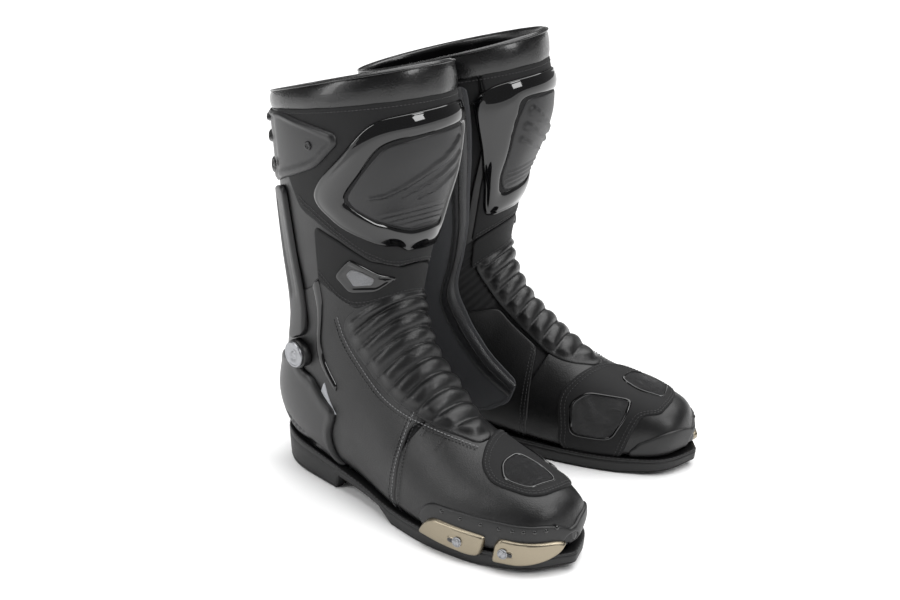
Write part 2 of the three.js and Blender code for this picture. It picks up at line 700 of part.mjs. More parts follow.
// the arm between the calf plate and the ankle hinge
function ankleStrut() {
  const arm = slab([
    [10, 92], [11.4, 103], [12.4, 108], [13.15, 112], [13.1, 140], [12.3, 132], [11.4, 124], [10.5, 114], [9.95, 112],
  ], SHELL.inner, SHELL.outer);
  const low = [92, 98, 105, 112].map((deg) => [rowOnRays(deg, SHAFT_EDGE), deg]);
  const root = slab([...low, [10.35, 113], [10.4, 95]], SHELL.inner, SHELL.outer + LUG_THICKNESS);
  const pivot = pivotPoint();
  const sweep = rod(BOSS_RADIUS + 2, -20, GAP, pivot, outward);
  const lug = rod(LUG_RADIUS, GAP, GAP + LUG_THICKNESS, pivot, outward, 24);
  const eye = rod(STEM_RADIUS + PIVOT_CLEARANCE, -20, 20, pivot, outward);
  const above = rod(LUG_RADIUS + 2, GAP * 2 + LUG_THICKNESS - 0.05, 20, pivot, outward, 24);
  return subtract(join(subtract(join(arm, root), sweep, above), lug), eye);
}

function collar() {
  return slab(band(() => COLLAR_SEAM, () => TOP), BASE.inner, BASE.outer);
}

// ---------- zip on the inner side ----------
// printed fabric flap behind the zip; it bends with the ankle
function stormFlap() {
  const front = ZIP_ROWS.map((s) => [s, zipLine(s) + 7]);
  return slab([
    ...front.toReversed(), [5.6, -84], [6.1, -100], [6.9, -116], [9, -122], [11, -126], [13, -130], [14.8, -130],
  ], OVER.inner, OVER.outer);
}

const degreesWide = (width, s) => (width * 180) / Math.PI / (section(s)[5] + SHELL.inner);

function zipChain() {
  const edge = (side) => ZIP_ROWS.map((s) => [s, zipLine(s) + (side * degreesWide(ZIP_CHAIN_WIDTH, s)) / 2]);
  return slab([...edge(1), ...edge(-1).toReversed()], SHELL.inner, SHELL.inner + LEATHER);
}

// the straight run of the zip slider: where it starts, which way it goes and how far
function zipRun() {
  const seat = (s) => skin(s, zipLine(s), SHELL.inner + LEATHER);
  const [start, end] = [seat(14.2), seat(12.5)];
  const direction = end.clone().sub(start);
  const length = direction.length();
  direction.normalize();
  const normal = skinNormal(13.4, zipLine(13.4));
  normal.addScaledVector(direction, -normal.dot(direction)).normalize();
  const rise = Math.max(...[12, 12.5, 13, 13.5, 14].map((s) => seat(s).sub(start).dot(normal)));
  const across = direction.clone().cross(normal);
  start.addScaledVector(normal, rise + ZIP_CLEARANCE);
  return { start, direction, normal, across, length };
}

// a solid whose own axes are the zip's: x along its run, y across it and z outward
function onZip(geometry) {
  const { start, direction, normal, across } = zipRun();
  const basis = new THREE.Matrix4().makeBasis(direction, across.negate(), normal);
  return geometry.applyMatrix4(basis.setPosition(start));
}

function zipSlider() {
  const { length, width, height } = ZIP_SLIDER;
  const half = width / 2;
  const shape = new THREE.Shape();
  shape.moveTo(-length / 2, -half);
  shape.lineTo(length / 2, -half * 0.6);
  shape.lineTo(length / 2, half * 0.6);
  shape.lineTo(-length / 2, half);
  return onZip(new THREE.ExtrudeGeometry(shape, { depth: height, bevelEnabled: false }));
}

function zipPuller() {
  const { length, width, thickness } = ZIP_PULLER;
  const half = width / 2;
  const shape = new THREE.Shape();
  shape.moveTo(-0.6, -half * 0.6);
  shape.lineTo(length - half, -half);
  shape.absarc(length - half, 0, half, -Math.PI / 2, Math.PI / 2);
  shape.lineTo(-0.6, half * 0.6);
  const hole = new THREE.Path().absarc(length - half, 0, half * 0.45, 0, Math.PI * 2);
  shape.holes.push(hole);
  const settings = { depth: thickness, bevelEnabled: false, curveSegments: 6 };
  const geometry = new THREE.ExtrudeGeometry(shape, settings);
  return onZip(geometry.translate(0, 0, ZIP_SLIDER.height + GAP));
}

// ---------- materials and assembly ----------
const material = (color, roughness, metalness = 0) => new THREE.MeshStandardMaterial({ color, roughness, metalness });
const RUBBER = material(0x1b1b1c, 0.8);
const LEATHER_LOOK = material(0x19191a, 0.42);
const MICROFIBRE = material(0x1f1f20, 0.75);
const FABRIC = material(0x242425, 0.9);
const GLOSS = material(0x0c0c0d, 0.12);
const MATTE = material(0x202123, 0.6);
const STEEL = material(0xb9b0a2, 0.32, 1);
const SILVER = material(0xc9cacc, 0.4, 0.9);
const FOAM = material(0x2c2c2e, 0.95);

const PARTS = [
  ['outsole', outsole, RUBBER],
  ['insole_board', insoleBoard, FOAM],
  ['footbed', footbed, FOAM],
  ['foot_lining', footLining, FABRIC],
  ['vamp', vamp, LEATHER_LOOK],
  ['ankle_quarter', ankleQuarter, LEATHER_LOOK],
  ['medial_quarter', medialQuarter, LEATHER_LOOK],
  ['instep_accordion', instepAccordion, LEATHER_LOOK],
  ['heel_cup', heelCup, MATTE],
  ['ankle_pivot_disc', pivotDisc, SILVER],
  ['toe_bumper', toeBumper, RUBBER],
  ['front_toe_slider', () => toeSlider(FRONT_SLIDER, SLIDER_SCREWS.front), STEEL],
  ['rear_toe_slider', () => toeSlider(REAR_SLIDER, SLIDER_SCREWS.rear), STEEL],
  ['front_slider_screw', () => screw(...SLIDER_SCREWS.front, SLIDER_LAYER.outer), STEEL],
  ['rear_slider_screw', () => screw(...SLIDER_SCREWS.rear, SLIDER_LAYER.outer), STEEL],
  ['shift_pad', shiftPad, MICROFIBRE],
  ['shaft_lining', shaftLining, FABRIC],
  ['calf_shell', calfShell, LEATHER_LOOK],
  ['upper_shin_panel', upperShinPanel, MICROFIBRE],
  ['lower_shin_panel', lowerShinPanel, MICROFIBRE],
  ['shin_frame', shinFrame, GLOSS],
  ['shin_insert', shinInsert, MATTE],
  ['vent_badge', ventBadge, GLOSS],
  ['calf_plate', calfPlate, MATTE],
  ['ankle_strut', ankleStrut, MATTE],
  ['collar', collar, MICROFIBRE],
  ['storm_flap', stormFlap, FABRIC],
  ['zip_chain', zipChain, MATTE],
  ['zip_slider', zipSlider, SILVER],
  ['zip_puller', zipPuller, SILVER],
];

const shapes = PARTS.map(([name, make, look]) => ({ name, look, geometry: make() }));

function boot(side) {
  const group = new THREE.Group();
  for (const { name, look, geometry } of shapes) {
    const mesh = new THREE.Mesh(geometry, look);
    mesh.name = `${side}_${name}`;
    group.add(mesh);
  }
  const { x, y, turn } = PLACE[side];
  group.position.set(x, y, 0);
  group.rotation.z = radians(turn);
  if (side === 'left') group.scale.y = -1;
  return group;
}

const boots = new THREE.Group();
boots.add(boot('right'), boot('left'));

export default boots;
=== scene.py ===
# %% [markdown]
# # Riding boots
# A pair of tall road-racing boots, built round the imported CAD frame. One mathematical last (a
# surface s, deg -> point) shapes every piece of both boots; the left boot is the right one
# mirrored. All shapes are worked out in millimetres on the last and placed in metres.

import math

import bpy
import numpy as np
from mathutils import Matrix, Vector, noise
from mathutils.geometry import delaunay_2d_cdt


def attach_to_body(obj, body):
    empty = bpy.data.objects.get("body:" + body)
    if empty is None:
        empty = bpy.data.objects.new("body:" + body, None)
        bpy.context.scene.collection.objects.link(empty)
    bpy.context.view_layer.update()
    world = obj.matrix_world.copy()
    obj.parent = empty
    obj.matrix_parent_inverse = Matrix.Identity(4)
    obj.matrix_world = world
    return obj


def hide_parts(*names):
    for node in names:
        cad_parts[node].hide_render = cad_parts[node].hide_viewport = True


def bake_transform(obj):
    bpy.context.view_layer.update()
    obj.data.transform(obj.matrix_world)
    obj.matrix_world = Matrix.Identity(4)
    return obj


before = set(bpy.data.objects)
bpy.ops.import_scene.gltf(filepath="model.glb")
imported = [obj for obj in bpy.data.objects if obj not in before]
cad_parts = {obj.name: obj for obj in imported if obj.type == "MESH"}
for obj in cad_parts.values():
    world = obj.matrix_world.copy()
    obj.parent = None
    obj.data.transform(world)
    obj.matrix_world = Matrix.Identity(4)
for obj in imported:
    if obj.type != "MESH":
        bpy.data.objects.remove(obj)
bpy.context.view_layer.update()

# %% [markdown]
# ## The last
# Sections from the toe (0) to the top line (16): front and back points in side view, half
# widths, how far the ring swings sideways, and how round it is above and below its widest line.

# %% The last
SECTIONS = np.array([
    [319, 25, 319, 25, 0, 0, 8, 0.6, 2, 2],
    [311, 50, 300, 16, 28, 28, 7, 0.62, 2.2, 3],
    [292, 61, 279, 12, 40, 38, 6, 0.66, 2.3, 3.6],
    [262, 69, 245, 10, 49, 45, 4, 0.7, 2.2, 4],
    [231, 78, 208, 10, 52, 47, 2, 0.72, 2.1, 4.2],
    [200, 93, 165, 12, 48, 45, 0, 0.72, 2, 4],
    [178, 112, 121, 15, 43, 43, 0, 0.7, 2, 3.6],
    [158, 131, 72, 18, 42, 41, 0, 0.66, 2, 3.2],
    [144, 153, 20, 21, 43, 42, 0, 0.58, 2.1, 2.6],
    [137, 176, -7, 49, 44, 44, 0, 0.54, 2.1, 2.3],
    [139, 201, 0, 95, 46, 45, 0, 0.5, 2.2, 2.1],
    [145, 228, 8, 142, 48, 48, 0, 0.5, 2.3, 2.1],
    [154, 257, 10, 193, 54, 53, 0, 0.5, 2.3, 2.1],
    [166, 288, 8, 244, 59, 58, 0, 0.5, 2.3, 2.1],
    [172, 319, 5, 291, 62, 61, 0, 0.5, 2.2, 2.1],
    [168, 347, 3, 318, 62, 61, 0, 0.5, 2.1, 2.1],
    [165, 374, 3, 330, 59, 59, 0, 0.5, 2.1, 2.1],
])
TOP = len(SECTIONS) - 1
PLACE = {"right": (-162.55, 62.25, -47.3), "left": (-110.55, 142.25, -23.2)}  # x, y, turn
SIDES = ("right", "left")


def section(s):
    """The section's ten numbers at each s, smooth between the rows of the table."""
    s = np.asarray(s, float)
    i = np.clip(np.floor(s).astype(int), 0, TOP - 1)
    t = (s - i)[..., None]
    p0, p1, p2, p3 = (SECTIONS[np.clip(i + k, 0, TOP)] for k in (-1, 0, 1, 2))
    v0, v1 = (p2 - p0) / 2, (p3 - p1) / 2
    return ((2 * p1 - 2 * p2 + v0 + v1) * t + (-3 * p1 + 3 * p2 - 2 * v0 - v1)) * t**2 + v0 * t + p1


def last(s, deg):
    """Points of the last in millimetres; deg 0 is the front and + is the outer side."""
    fx, fz, bx, bz, outer, inner, swing, full, upper, lower = np.moveaxis(section(s), -1, 0)
    angle = np.radians((np.asarray(deg, float) + 180) % 360 - 180)
    above = np.abs(angle) <= np.pi / 2
    power = 2 / np.where(above, upper, lower)
    c = np.abs(np.cos(angle)) ** power
    across = np.abs(np.sin(angle)) ** power * np.sign(angle)
    down = np.where(above, full * (1 - c), full + (1 - full) * c)
    y = -np.where(angle < 0, inner, outer) * across + swing
    return np.stack([fx + (bx - fx) * down, y, fz + (bz - fz) * down], -1)


def normal(s, deg):
    """Unit normals of the last, pointing outward."""
    s = np.clip(s, 0.06, TOP)
    along = last(np.minimum(s + 0.05, TOP), deg) - last(s - 0.05, deg)
    around = last(s, deg + 4.0) - last(s, deg - 4.0)
    n = np.cross(along, around)
    return n / np.maximum(np.linalg.norm(n, axis=-1, keepdims=True), 1e-9)


def skin(s, deg, height):
    """Points at a height in millimetres above the last."""
    s, deg = np.asarray(s, float), np.asarray(deg, float)
    return last(s, deg) + normal(s, deg) * np.asarray(height, float)[..., None]


def placed(points, side):
    """Boot millimetres to metres in the row frame."""
    x0, y0, turn = PLACE[side]
    c, s = math.cos(math.radians(turn)), math.sin(math.radians(turn))
    x, y, z = np.moveaxis(np.asarray(points, float), -1, 0)
    y = y if side == "right" else -y
    return np.stack([c * x - s * y + x0, s * x + c * y + y0, z], -1) / 1000


# %% [markdown]
# ## Materials
# Every finish is procedural. Colours are given as sRGB hex and patterns in real millimetres.

# %% Materials
def linear(code):
    """An sRGB hex colour as the linear numbers that a shader takes."""
    parts = [int(code[k : k + 2], 16) / 255 for k in (0, 2, 4)]
    return [p / 12.92 if p <= 0.04045 else ((p + 0.055) / 1.055) ** 2.4 for p in parts] + [1]


def node(tree, kind, links=(), **values):
    """Adds one node: settings by name, socket values by socket name, links as (socket, output)."""
    made = tree.nodes.new(kind)
    for key, value in values.items():
        if hasattr(made, key) and not key[0].isupper():
            setattr(made, key, value)
        else:
            made.inputs[key.replace("_", " ")].default_value = value
    for socket, output in links:
        tree.links.new(output, made.inputs[socket])
    return made


def material(name, color, rough, metallic=0.0, **extra):
    """A principled material; returns it with its tree and its shader."""
    made = bpy.data.materials.new(name)
    made.use_nodes = True
    tree = made.node_tree
    shader = tree.nodes["Principled BSDF"]
    for key, value in {"Base Color": linear(color), "Roughness": rough, "Metallic": metallic,
        **extra}.items():
        shader.inputs[key].default_value = value
    return made, tree, shader


def coordinates(tree, kind="Object", scale=(1000, 1000, 1000)):
    """Object coordinates in millimetres, or the piece's flat pattern in millimetres."""
    source = node(tree, "ShaderNodeTexCoord").outputs[kind]
    return node(tree, "ShaderNodeMapping", [("Vector", source)], Scale=scale).outputs["Vector"]


def bump(tree, shader, height, depth, strength=1.0):
    """Relief: height 0 to 1 is depth millimetres."""
    bumped = node(tree, "ShaderNodeBump", [("Height", height)], Strength=strength, Distance=depth / 1000)
    tree.links.new(bumped.outputs["Normal"], shader.inputs["Normal"])


def vary(tree, shader, socket, value, low, high):
    """Drives a shader number from a texture between two values."""
    mapped = node(tree, "ShaderNodeMapRange", [("Value", value)], To_Min=low, To_Max=high)
    tree.links.new(mapped.outputs["Result"], shader.inputs[socket])


def leather(name, color, rough, grain, depth, coat=0.0):
    """Grained leather: rounded cells with fine pores and uneven polish."""
    made, tree, shader = material(name, color, rough, **{"Specular IOR Level": 0.45, "Coat Weight": coat})
    at = coordinates(tree)
    cells = node(tree, "ShaderNodeTexVoronoi", [("Vector", at)], feature="SMOOTH_F1", Scale=1 / grain)
    fine = node(tree, "ShaderNodeTexNoise", [("Vector", at)], Scale=2.2 / grain, Detail=3.0)
    both = node(tree, "ShaderNodeMath", operation="ADD")
    tree.links.new(cells.outputs["Distance"], both.inputs[0])
    tree.links.new(fine.outputs["Fac"], both.inputs[1])
    bump(tree, shader, both.outputs[0], depth)
    wear = node(tree, "ShaderNodeTexNoise", [("Vector", at)], Scale=1 / 18, Detail=4.0)
    vary(tree, shader, "Roughness", wear.outputs["Fac"], rough - 0.08, rough + 0.1)
    return made


def suede(name, color, rough, sheen):
    """Matte microfibre with a fine nap."""
    made, tree, shader = material(name, color, rough, **{"Sheen Weight": sheen, "Sheen Roughness": 0.5})
    shader.inputs["Specular IOR Level"].default_value = 0.3
    nap = node(tree, "ShaderNodeTexNoise", [("Vector", coordinates(tree))], Scale=2.6, Detail=4.0)
    bump(tree, shader, nap.outputs["Fac"], 0.18)
    return made


def plastic(name, color, rough, grain=0.0, coat=0.0):
    """Moulded plastic or rubber, with a fine spark texture when grain is given in millimetres."""
    made, tree, shader = material(name, color, rough, **{"Coat Weight": coat, "Coat Roughness": 0.03})
    if grain:
        spark = node(tree, "ShaderNodeTexNoise", [("Vector", coordinates(tree))], Scale=1 / grain,
            Detail=2.0)
        bump(tree, shader, spark.outputs["Fac"], 0.07)
    return made


def brushed(name, color, rough):
    """Metal brushed along the piece's length."""
    made, tree, shader = material(name, color, rough, 1.0, Anisotropic=0.5)
    lines = coordinates(tree, "UV", (250, 6000, 1))
    streak = node(tree, "ShaderNodeTexNoise", [("Vector", lines)], Scale=1.0, Detail=2.0)
    bump(tree, shader, streak.outputs["Fac"], 0.03)
    vary(tree, shader, "Roughness", streak.outputs["Fac"], rough - 0.08, rough + 0.14)
    return made


def woven(name, color, light, pitch, rough=0.5, metallic=0.0):
    """Open mesh: round holes in rows, in the piece's flat pattern."""
    made, tree, shader = material(name, color, rough, metallic)
    at = coordinates(tree, "UV")
    cells = node(tree, "ShaderNodeTexVoronoi", [("Vector", at)], Scale=1 / pitch, Randomness=0.0)
    bump(tree, shader, cells.outputs["Distance"], 0.5)
    ramp = node(tree, "ShaderNodeValToRGB", [("Fac", cells.outputs["Distance"])])
    ramp.color_ramp.elements[0].position, ramp.color_ramp.elements[0].color = 0.3, linear(color)
    ramp.color_ramp.elements[1].position, ramp.color_ramp.elements[1].color = 0.42, linear(light)
    tree.links.new(ramp.outputs["Color"], shader.inputs["Base Color"])
    return made


def printed(name, color, ink, rough, row, dash):
    """Cloth or tape printed with rows of short dashes in two tones."""
    made, tree, shader = material(name, color, rough)
    at = coordinates(tree, "UV")
    bricks = node(
        tree, "ShaderNodeTexBrick", [("Vector", at)], Color1=linear(ink), Color2=linear(color),
        Mortar=linear(color),
        Scale=1.0, Mortar_Size=row * 0.22, Mortar_Smooth=0.15, Brick_Width=dash, Row_Height=row, Bias=0.1,
    )
    tree.links.new(bricks.outputs["Color"], shader.inputs["Base Color"])
    weave = node(tree, "ShaderNodeTexNoise", [("Vector", at)], Scale=2.4, Detail=2.0)
    bump(tree, shader, weave.outputs["Fac"], 0.12)
    return made


SMOOTH_LEATHER = leather("smooth grained leather", "09090a", 0.36, 1.1, 0.12)
PADDED_LEATHER = leather("padded instep leather", "0a0a0b", 0.34, 1.0, 0.12)
COLLAR_LEATHER = leather("collar leather", "050506", 0.25, 1.3, 0.10, 0.2)
MICROFIBRE = suede("matte microfibre", "101011", 0.7, 0.02)
GLOSS = plastic("gloss plastic", "020203", 0.05, 0.0, 0.3)
MATTE = plastic("matte moulded plastic", "0c0c0e", 0.4, 0.35)
INSERT = plastic("soft matte plastic", "0f0f11", 0.46, 0.3)
RUBBER = plastic("sole rubber", "0a0a0b", 0.55, 0.5)
RAND = plastic("toe rand rubber", "0b0b0c", 0.45, 0.4)
STEEL = brushed("brushed warm steel", "8f8675", 0.27)
SILVER = brushed("satin aluminium", "97989b", 0.36)
NICKEL = plastic("dark nickel", "3a3a3c", 0.25)
NICKEL.node_tree.nodes["Principled BSDF"].inputs["Metallic"].default_value = 1.0
THREAD = suede("black thread", "2c2c2d", 0.5, 0.1)
GREY_THREAD = suede("grey piping thread", "7a7a7b", 0.6, 0.2)
VENT_MESH = woven("silver vent mesh", "c4c5c8", "3a3a3c", 1.6, 0.35, 0.4)
PAD_MESH = woven("black pad mesh", "2a2a2c", "060607", 1.9, 0.45)
LINING = suede("knitted lining", "151516", 0.85, 0.15)
FLAP = printed("printed flap cloth", "3a3b3e", "0c0c0d", 0.6, 9.0, 24.0)
TAPE = printed("printed zip tape", "0a0a0b", "4c4d50", 0.22, 3.2, 9.0)
REFLECTIVE = plastic("reflective foil", "9a9ca0", 0.35, 0.5)
FOOTBED = suede("footbed cloth", "2a2a2c", 0.9, 0.3)


# %% [markdown]
# ## Panels
# A panel is an outline on the last, filled with a fine triangle mesh. Its edge rolls up from the
# layer below to the panel's own height, and a relief function adds ribs, creases or bevels.

# %% Panels
ROW_MM, DEG_MM = 25.0, 0.9  # one section and one degree, laid flat


def flat(places):
    """[section, degrees] laid out flat in millimetres."""
    return np.asarray(places, float) * [ROW_MM, DEG_MM]


def rounded(outline, radius):
    """An outline's corners turned into small curves, in flat millimetres."""
    corners = flat(outline)
    points = []
    for k, b in enumerate(corners):
        a, c = corners[k - 1], corners[(k + 1) % len(corners)]
        to_a, to_c = a - b, c - b
        long_a, long_c = np.linalg.norm(to_a), np.linalg.norm(to_c)
        cut = min(radius, 0.42 * long_a, 0.42 * long_c)
        p, q = b + to_a / long_a * cut, b + to_c / long_c * cut
        for t in np.linspace(0, 1, 6):
            points.append((1 - t) ** 2 * p + 2 * t * (1 - t) * b + t * t * q)
    return np.array(points)


def resample(points, step, closed=True):
    """Points every step millimetres along a line."""
    loop = np.vstack([points, points[:1]]) if closed else np.asarray(points, float)
    length = np.r_[0, np.cumsum(np.linalg.norm(np.diff(loop, axis=0), axis=1))]
    count = max(int(round(length[-1] / step)), 3)
    at = np.linspace(0, length[-1], count + 1)[: count if closed else count + 1]
    return np.stack([np.interp(at, length, loop[:, k]) for k in range(loop.shape[1])], -1)


def edge_distance(points, loop):
    """Distance of each point to a closed line."""
    best = np.full(len(points), 1e9)
    for a, b in zip(loop, np.roll(loop, -1, 0)):
        ab = b - a
        t = np.clip(((points - a) @ ab) / max(ab @ ab, 1e-12), 0, 1)
        best = np.minimum(best, np.linalg.norm(points - a - t[:, None] * ab, axis=1))
    return best


def inside(points, loop):
    """Which points lie inside a closed line."""
    x, y = points.T
    odd = np.zeros(len(points), bool)
    for (ax, ay), (bx, by) in zip(loop, np.roll(loop, -1, 0)):
        if ay != by:
            odd ^= ((ay > y) != (by > y)) & (x < (bx - ax) * (y - ay) / (by - ay) + ax)
    return odd


def inset(loop, distance):
    """A closed line moved inward, without the points that would crowd a corner."""
    ahead = np.roll(loop, -1, 0) - np.roll(loop, 1, 0)
    across = np.stack([-ahead[:, 1], ahead[:, 0]], -1)
    across /= np.maximum(np.linalg.norm(across, axis=1, keepdims=True), 1e-9)
    x, y = loop.T
    turn = np.sum(x * np.roll(y, -1) - y * np.roll(x, -1))
    moved = loop + across * distance * (1 if turn > 0 else -1)
    return moved[inside(moved, loop) & (edge_distance(moved, loop) > distance * 0.93)]


def filled(outline, step, radius, roll):
    """Fills an outline: flat points, triangles and each point's distance to the edge."""
    loop = resample(rounded(outline, radius), step)
    rings = [inset(loop, roll * share) for share in (0.1, 0.35, 0.7, 1.1)]
    low, high = loop.min(0), loop.max(0)
    grid = np.stack(np.meshgrid(*(np.arange(a, b, step) for a, b in zip(low, high)), indexing="ij"), -1)
    grid[:, 1::2, 0] += step / 2
    grid = grid.reshape(-1, 2)
    grid = grid[inside(grid, loop)]
    grid = grid[edge_distance(grid, loop) > roll * 1.1 + step * 0.6]
    points = np.vstack([loop, *rings, grid])
    ring = list(range(len(loop)))
    verts, _, faces, *_ = delaunay_2d_cdt([Vector(p) for p in points], [], [ring], 1, 1e-5)
    verts = np.array([tuple(v) for v in verts])
    return verts, [tuple(face) for face in faces], edge_distance(verts, loop), loop


def rough(points, size, seed=0):
    """Smooth random heights from -1 to 1 with bumps of about size millimetres."""
    shift = Vector((seed, 7, 3))
    return np.array([noise.noise(Vector((p[0], p[1], p[2] if len(p) > 2 else 0)) / size + shift)
        for p in points])


def named(side, name):
    """A piece's object name: letters, digits, dots and underscores only."""
    return f"{side}_{name}".replace(",", "").replace(" ", "_").replace("-", "_")


def mesh_object(name, vertices, faces, look, uv=None, smooth=True):
    """A plain mesh object in metres, with the flat pattern kept as its UVs."""
    mesh = bpy.data.meshes.new(name)
    mesh.from_pydata([tuple(v) for v in vertices], [], faces)
    if uv is not None:
        layer = mesh.uv_layers.new(name="pattern")
        index = np.empty(len(mesh.loops), int)
        mesh.loops.foreach_get("vertex_index", index)
        layer.data.foreach_set("uv", np.asarray(uv, float)[index].ravel())
    mesh.materials.append(look)
    mesh.polygons.foreach_set("use_smooth", [smooth] * len(mesh.polygons))
    mesh.update()
    made_object = bpy.data.objects.new(name, mesh)
    bpy.context.scene.collection.objects.link(made_object)
    return made_object


def attach(thing, side, rides):
    """Puts a piece on the foot or the shaft; a piece between the two stays unattached, its transform baked
    into the mesh.
    """
    if rides == "foot":
        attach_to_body(thing, "feet")
    elif rides == "bend":
        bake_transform(thing)
    else:
        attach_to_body(thing, f"{side}_{rides}")


# the ankle hinge
PIVOT = np.array([54, -50.34, 116])


def piece(name, points, faces, look, rides, stands_for=(), uv=None, smooth=True):
    """Makes a piece of the boot on both sides; the left one is mirrored."""
    pair = []
    for side in SIDES:
        turned = faces if side == "right" else [tuple(reversed(face)) for face in faces]
        thing = mesh_object(named(side, name), placed(points, side), turned, look, uv, smooth)
        if stands_for:
            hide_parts(*[f"{side}_{one}" for one in stands_for])
        attach(thing, side, rides)
        pair.append(thing)
    return pair


def panel(name, outline, low, high, look, rides, stands_for=(), step=2.0, radius=5.0, roll=1.4,
    relief=None):
    """A panel between two heights over the last; returns its pieces and its edge line."""
    points, faces, distance, loop = filled(outline, step, radius, roll)
    s, deg = (points / [ROW_MM, DEG_MM]).T
    s = np.clip(s, 0.02, TOP)
    rise = np.sqrt(1 - (1 - np.clip(distance / roll, 0, 1)) ** 2)
    height = low + (high - low) * rise
    if relief is not None:
        height = height + relief(s, deg, distance) * rise
    shape = skin(s, deg, height)
    face = faces[len(faces) // 2]
    a, b, c = (shape[k] for k in face[:3])
    outward = normal(s[face[0]], deg[face[0]])
    if np.cross(b - a, c - a) @ outward < 0:
        faces = [tuple(reversed(one)) for one in faces]
    return piece(name, shape, faces, look, rides, stands_for, points), loop


def loft(name, rows, look, rides, stands_for=(), degrees=(-180, 180), columns=180, shift=None):
    """A ring round the leg from rows of (section, height); shift adds height at (s, deg)."""
    closed = degrees[1] - degrees[0] >= 360
    deg = np.linspace(*degrees, columns + 1)[: columns if closed else columns + 1]
    s = np.array([[row[0](d) if callable(row[0]) else row[0] for d in deg] for row in rows])
    height = np.repeat([[row[1]] for row in rows], len(deg), 1).astype(float)
    all_deg = np.tile(deg, (len(rows), 1))
    if shift is not None:
        height = height + shift(s, all_deg)
    points = skin(s, all_deg, height).reshape(-1, 3)
    count = len(deg)
    faces = []
    for i in range(len(rows) - 1):
        for j in range(count if closed else count - 1):
            k = (j + 1) % count
            faces.append((i * count + j, i * count + k, (i + 1) * count + k, (i + 1) * count + j))
    uv = np.stack([s.ravel() * ROW_MM, all_deg.ravel() * DEG_MM], -1)
    a, b, _, d = (points[k] for k in faces[0])
    if np.cross(b - a, d - a) @ normal(s[0, 0], deg[0]) < 0:
        faces = [tuple(reversed(face)) for face in faces]
    return piece(name, points, faces, look, rides, stands_for, uv)


# %% [markdown]
# ## Stitches, dots and screws
# Repeated details are placed by Geometry Nodes: one group runs stitches along a line, and one
# copies a small model onto points, standing on each point's facing direction.

# %% Repeats
def group(name, sockets):
    """A Geometry Nodes group with its inputs; returns the tree, its input and its output node."""
    tree = bpy.data.node_groups.new(name, "GeometryNodeTree")
    tree.interface.new_socket("Geometry", in_out="OUTPUT", socket_type="NodeSocketGeometry")
    tree.interface.new_socket("Geometry", in_out="INPUT", socket_type="NodeSocketGeometry")
    for label, kind in sockets.items():
        tree.interface.new_socket(label, in_out="INPUT", socket_type="NodeSocket" + kind)
    return tree, tree.nodes.new("NodeGroupInput"), tree.nodes.new("NodeGroupOutput")


def finish_group(tree, source, target, instances):
    """Ends a group: instances become real geometry with the wanted material."""
    real = node(tree, "GeometryNodeRealizeInstances", [("Geometry", instances)])
    painted = node(tree, "GeometryNodeSetMaterial", [("Geometry", real.outputs["Geometry"])])
    tree.links.new(source.outputs["Material"], painted.inputs["Material"])
    tree.links.new(painted.outputs["Geometry"], target.inputs["Geometry"])


def stitch_group():
    """Stitches along a line: Pitch apart, each Length long and Radius thick."""
    tree, source, target = group("stitch run",
        {"Pitch": "Float", "Length": "Float", "Radius": "Float", "Material": "Material"})
    line = node(tree, "GeometryNodeMeshToCurve", [("Mesh", source.outputs["Geometry"])])
    spaced = node(tree, "GeometryNodeResampleCurve",
        [("Curve", line.outputs["Curve"]), ("Length", source.outputs["Pitch"])], mode="LENGTH")
    ball = node(tree, "GeometryNodeMeshUVSphere", Segments=8, Rings=6, Radius=1.0)
    size = node(tree, "ShaderNodeCombineXYZ",
        [("X", source.outputs["Radius"]), ("Y", source.outputs["Radius"]), ("Z", source.outputs["Length"])])
    thread = node(tree, "GeometryNodeTransform",
        [("Geometry", ball.outputs["Mesh"]), ("Scale", size.outputs["Vector"])])
    tangent = node(tree, "GeometryNodeInputTangent")
    aim = node(tree, "FunctionNodeAlignRotationToVector", [("Vector", tangent.outputs["Tangent"])],
        axis="Z")
    placed_on = node(tree, "GeometryNodeInstanceOnPoints", [
        ("Points", spaced.outputs["Curve"]), ("Instance", thread.outputs["Geometry"]),
        ("Rotation", aim.outputs["Rotation"]),
    ])
    finish_group(tree, source, target, placed_on.outputs["Instances"])
    return tree


def copy_group():
    """Copies a model onto points, its Z along each point's facing direction."""
    tree, source, target = group("copies on points",
        {"Model": "Object", "Size": "Float", "Spin": "Float", "Material": "Material"})
    model = node(tree, "GeometryNodeObjectInfo", [("Object", source.outputs["Model"])])
    facing = node(tree, "GeometryNodeInputNamedAttribute", data_type="FLOAT_VECTOR", Name="facing")
    aim = node(tree, "FunctionNodeAlignRotationToVector", [("Vector", facing.outputs["Attribute"])],
        axis="Z")
    spin = node(tree, "ShaderNodeCombineXYZ", [("Z", source.outputs["Spin"])])
    turn = node(tree, "FunctionNodeRotateRotation",
        [("Rotation", aim.outputs["Rotation"]), ("Rotate By", spin.outputs["Vector"])],
        rotation_space="LOCAL")
    placed_on = node(tree, "GeometryNodeInstanceOnPoints", [
        ("Points", source.outputs["Geometry"]), ("Instance", model.outputs["Geometry"]),
        ("Rotation", turn.outputs["Rotation"]), ("Scale", source.outputs["Size"]),
    ])
    finish_group(tree, source, target, placed_on.outputs["Instances"])
    return tree


STITCHES, COPIES = stitch_group(), copy_group()


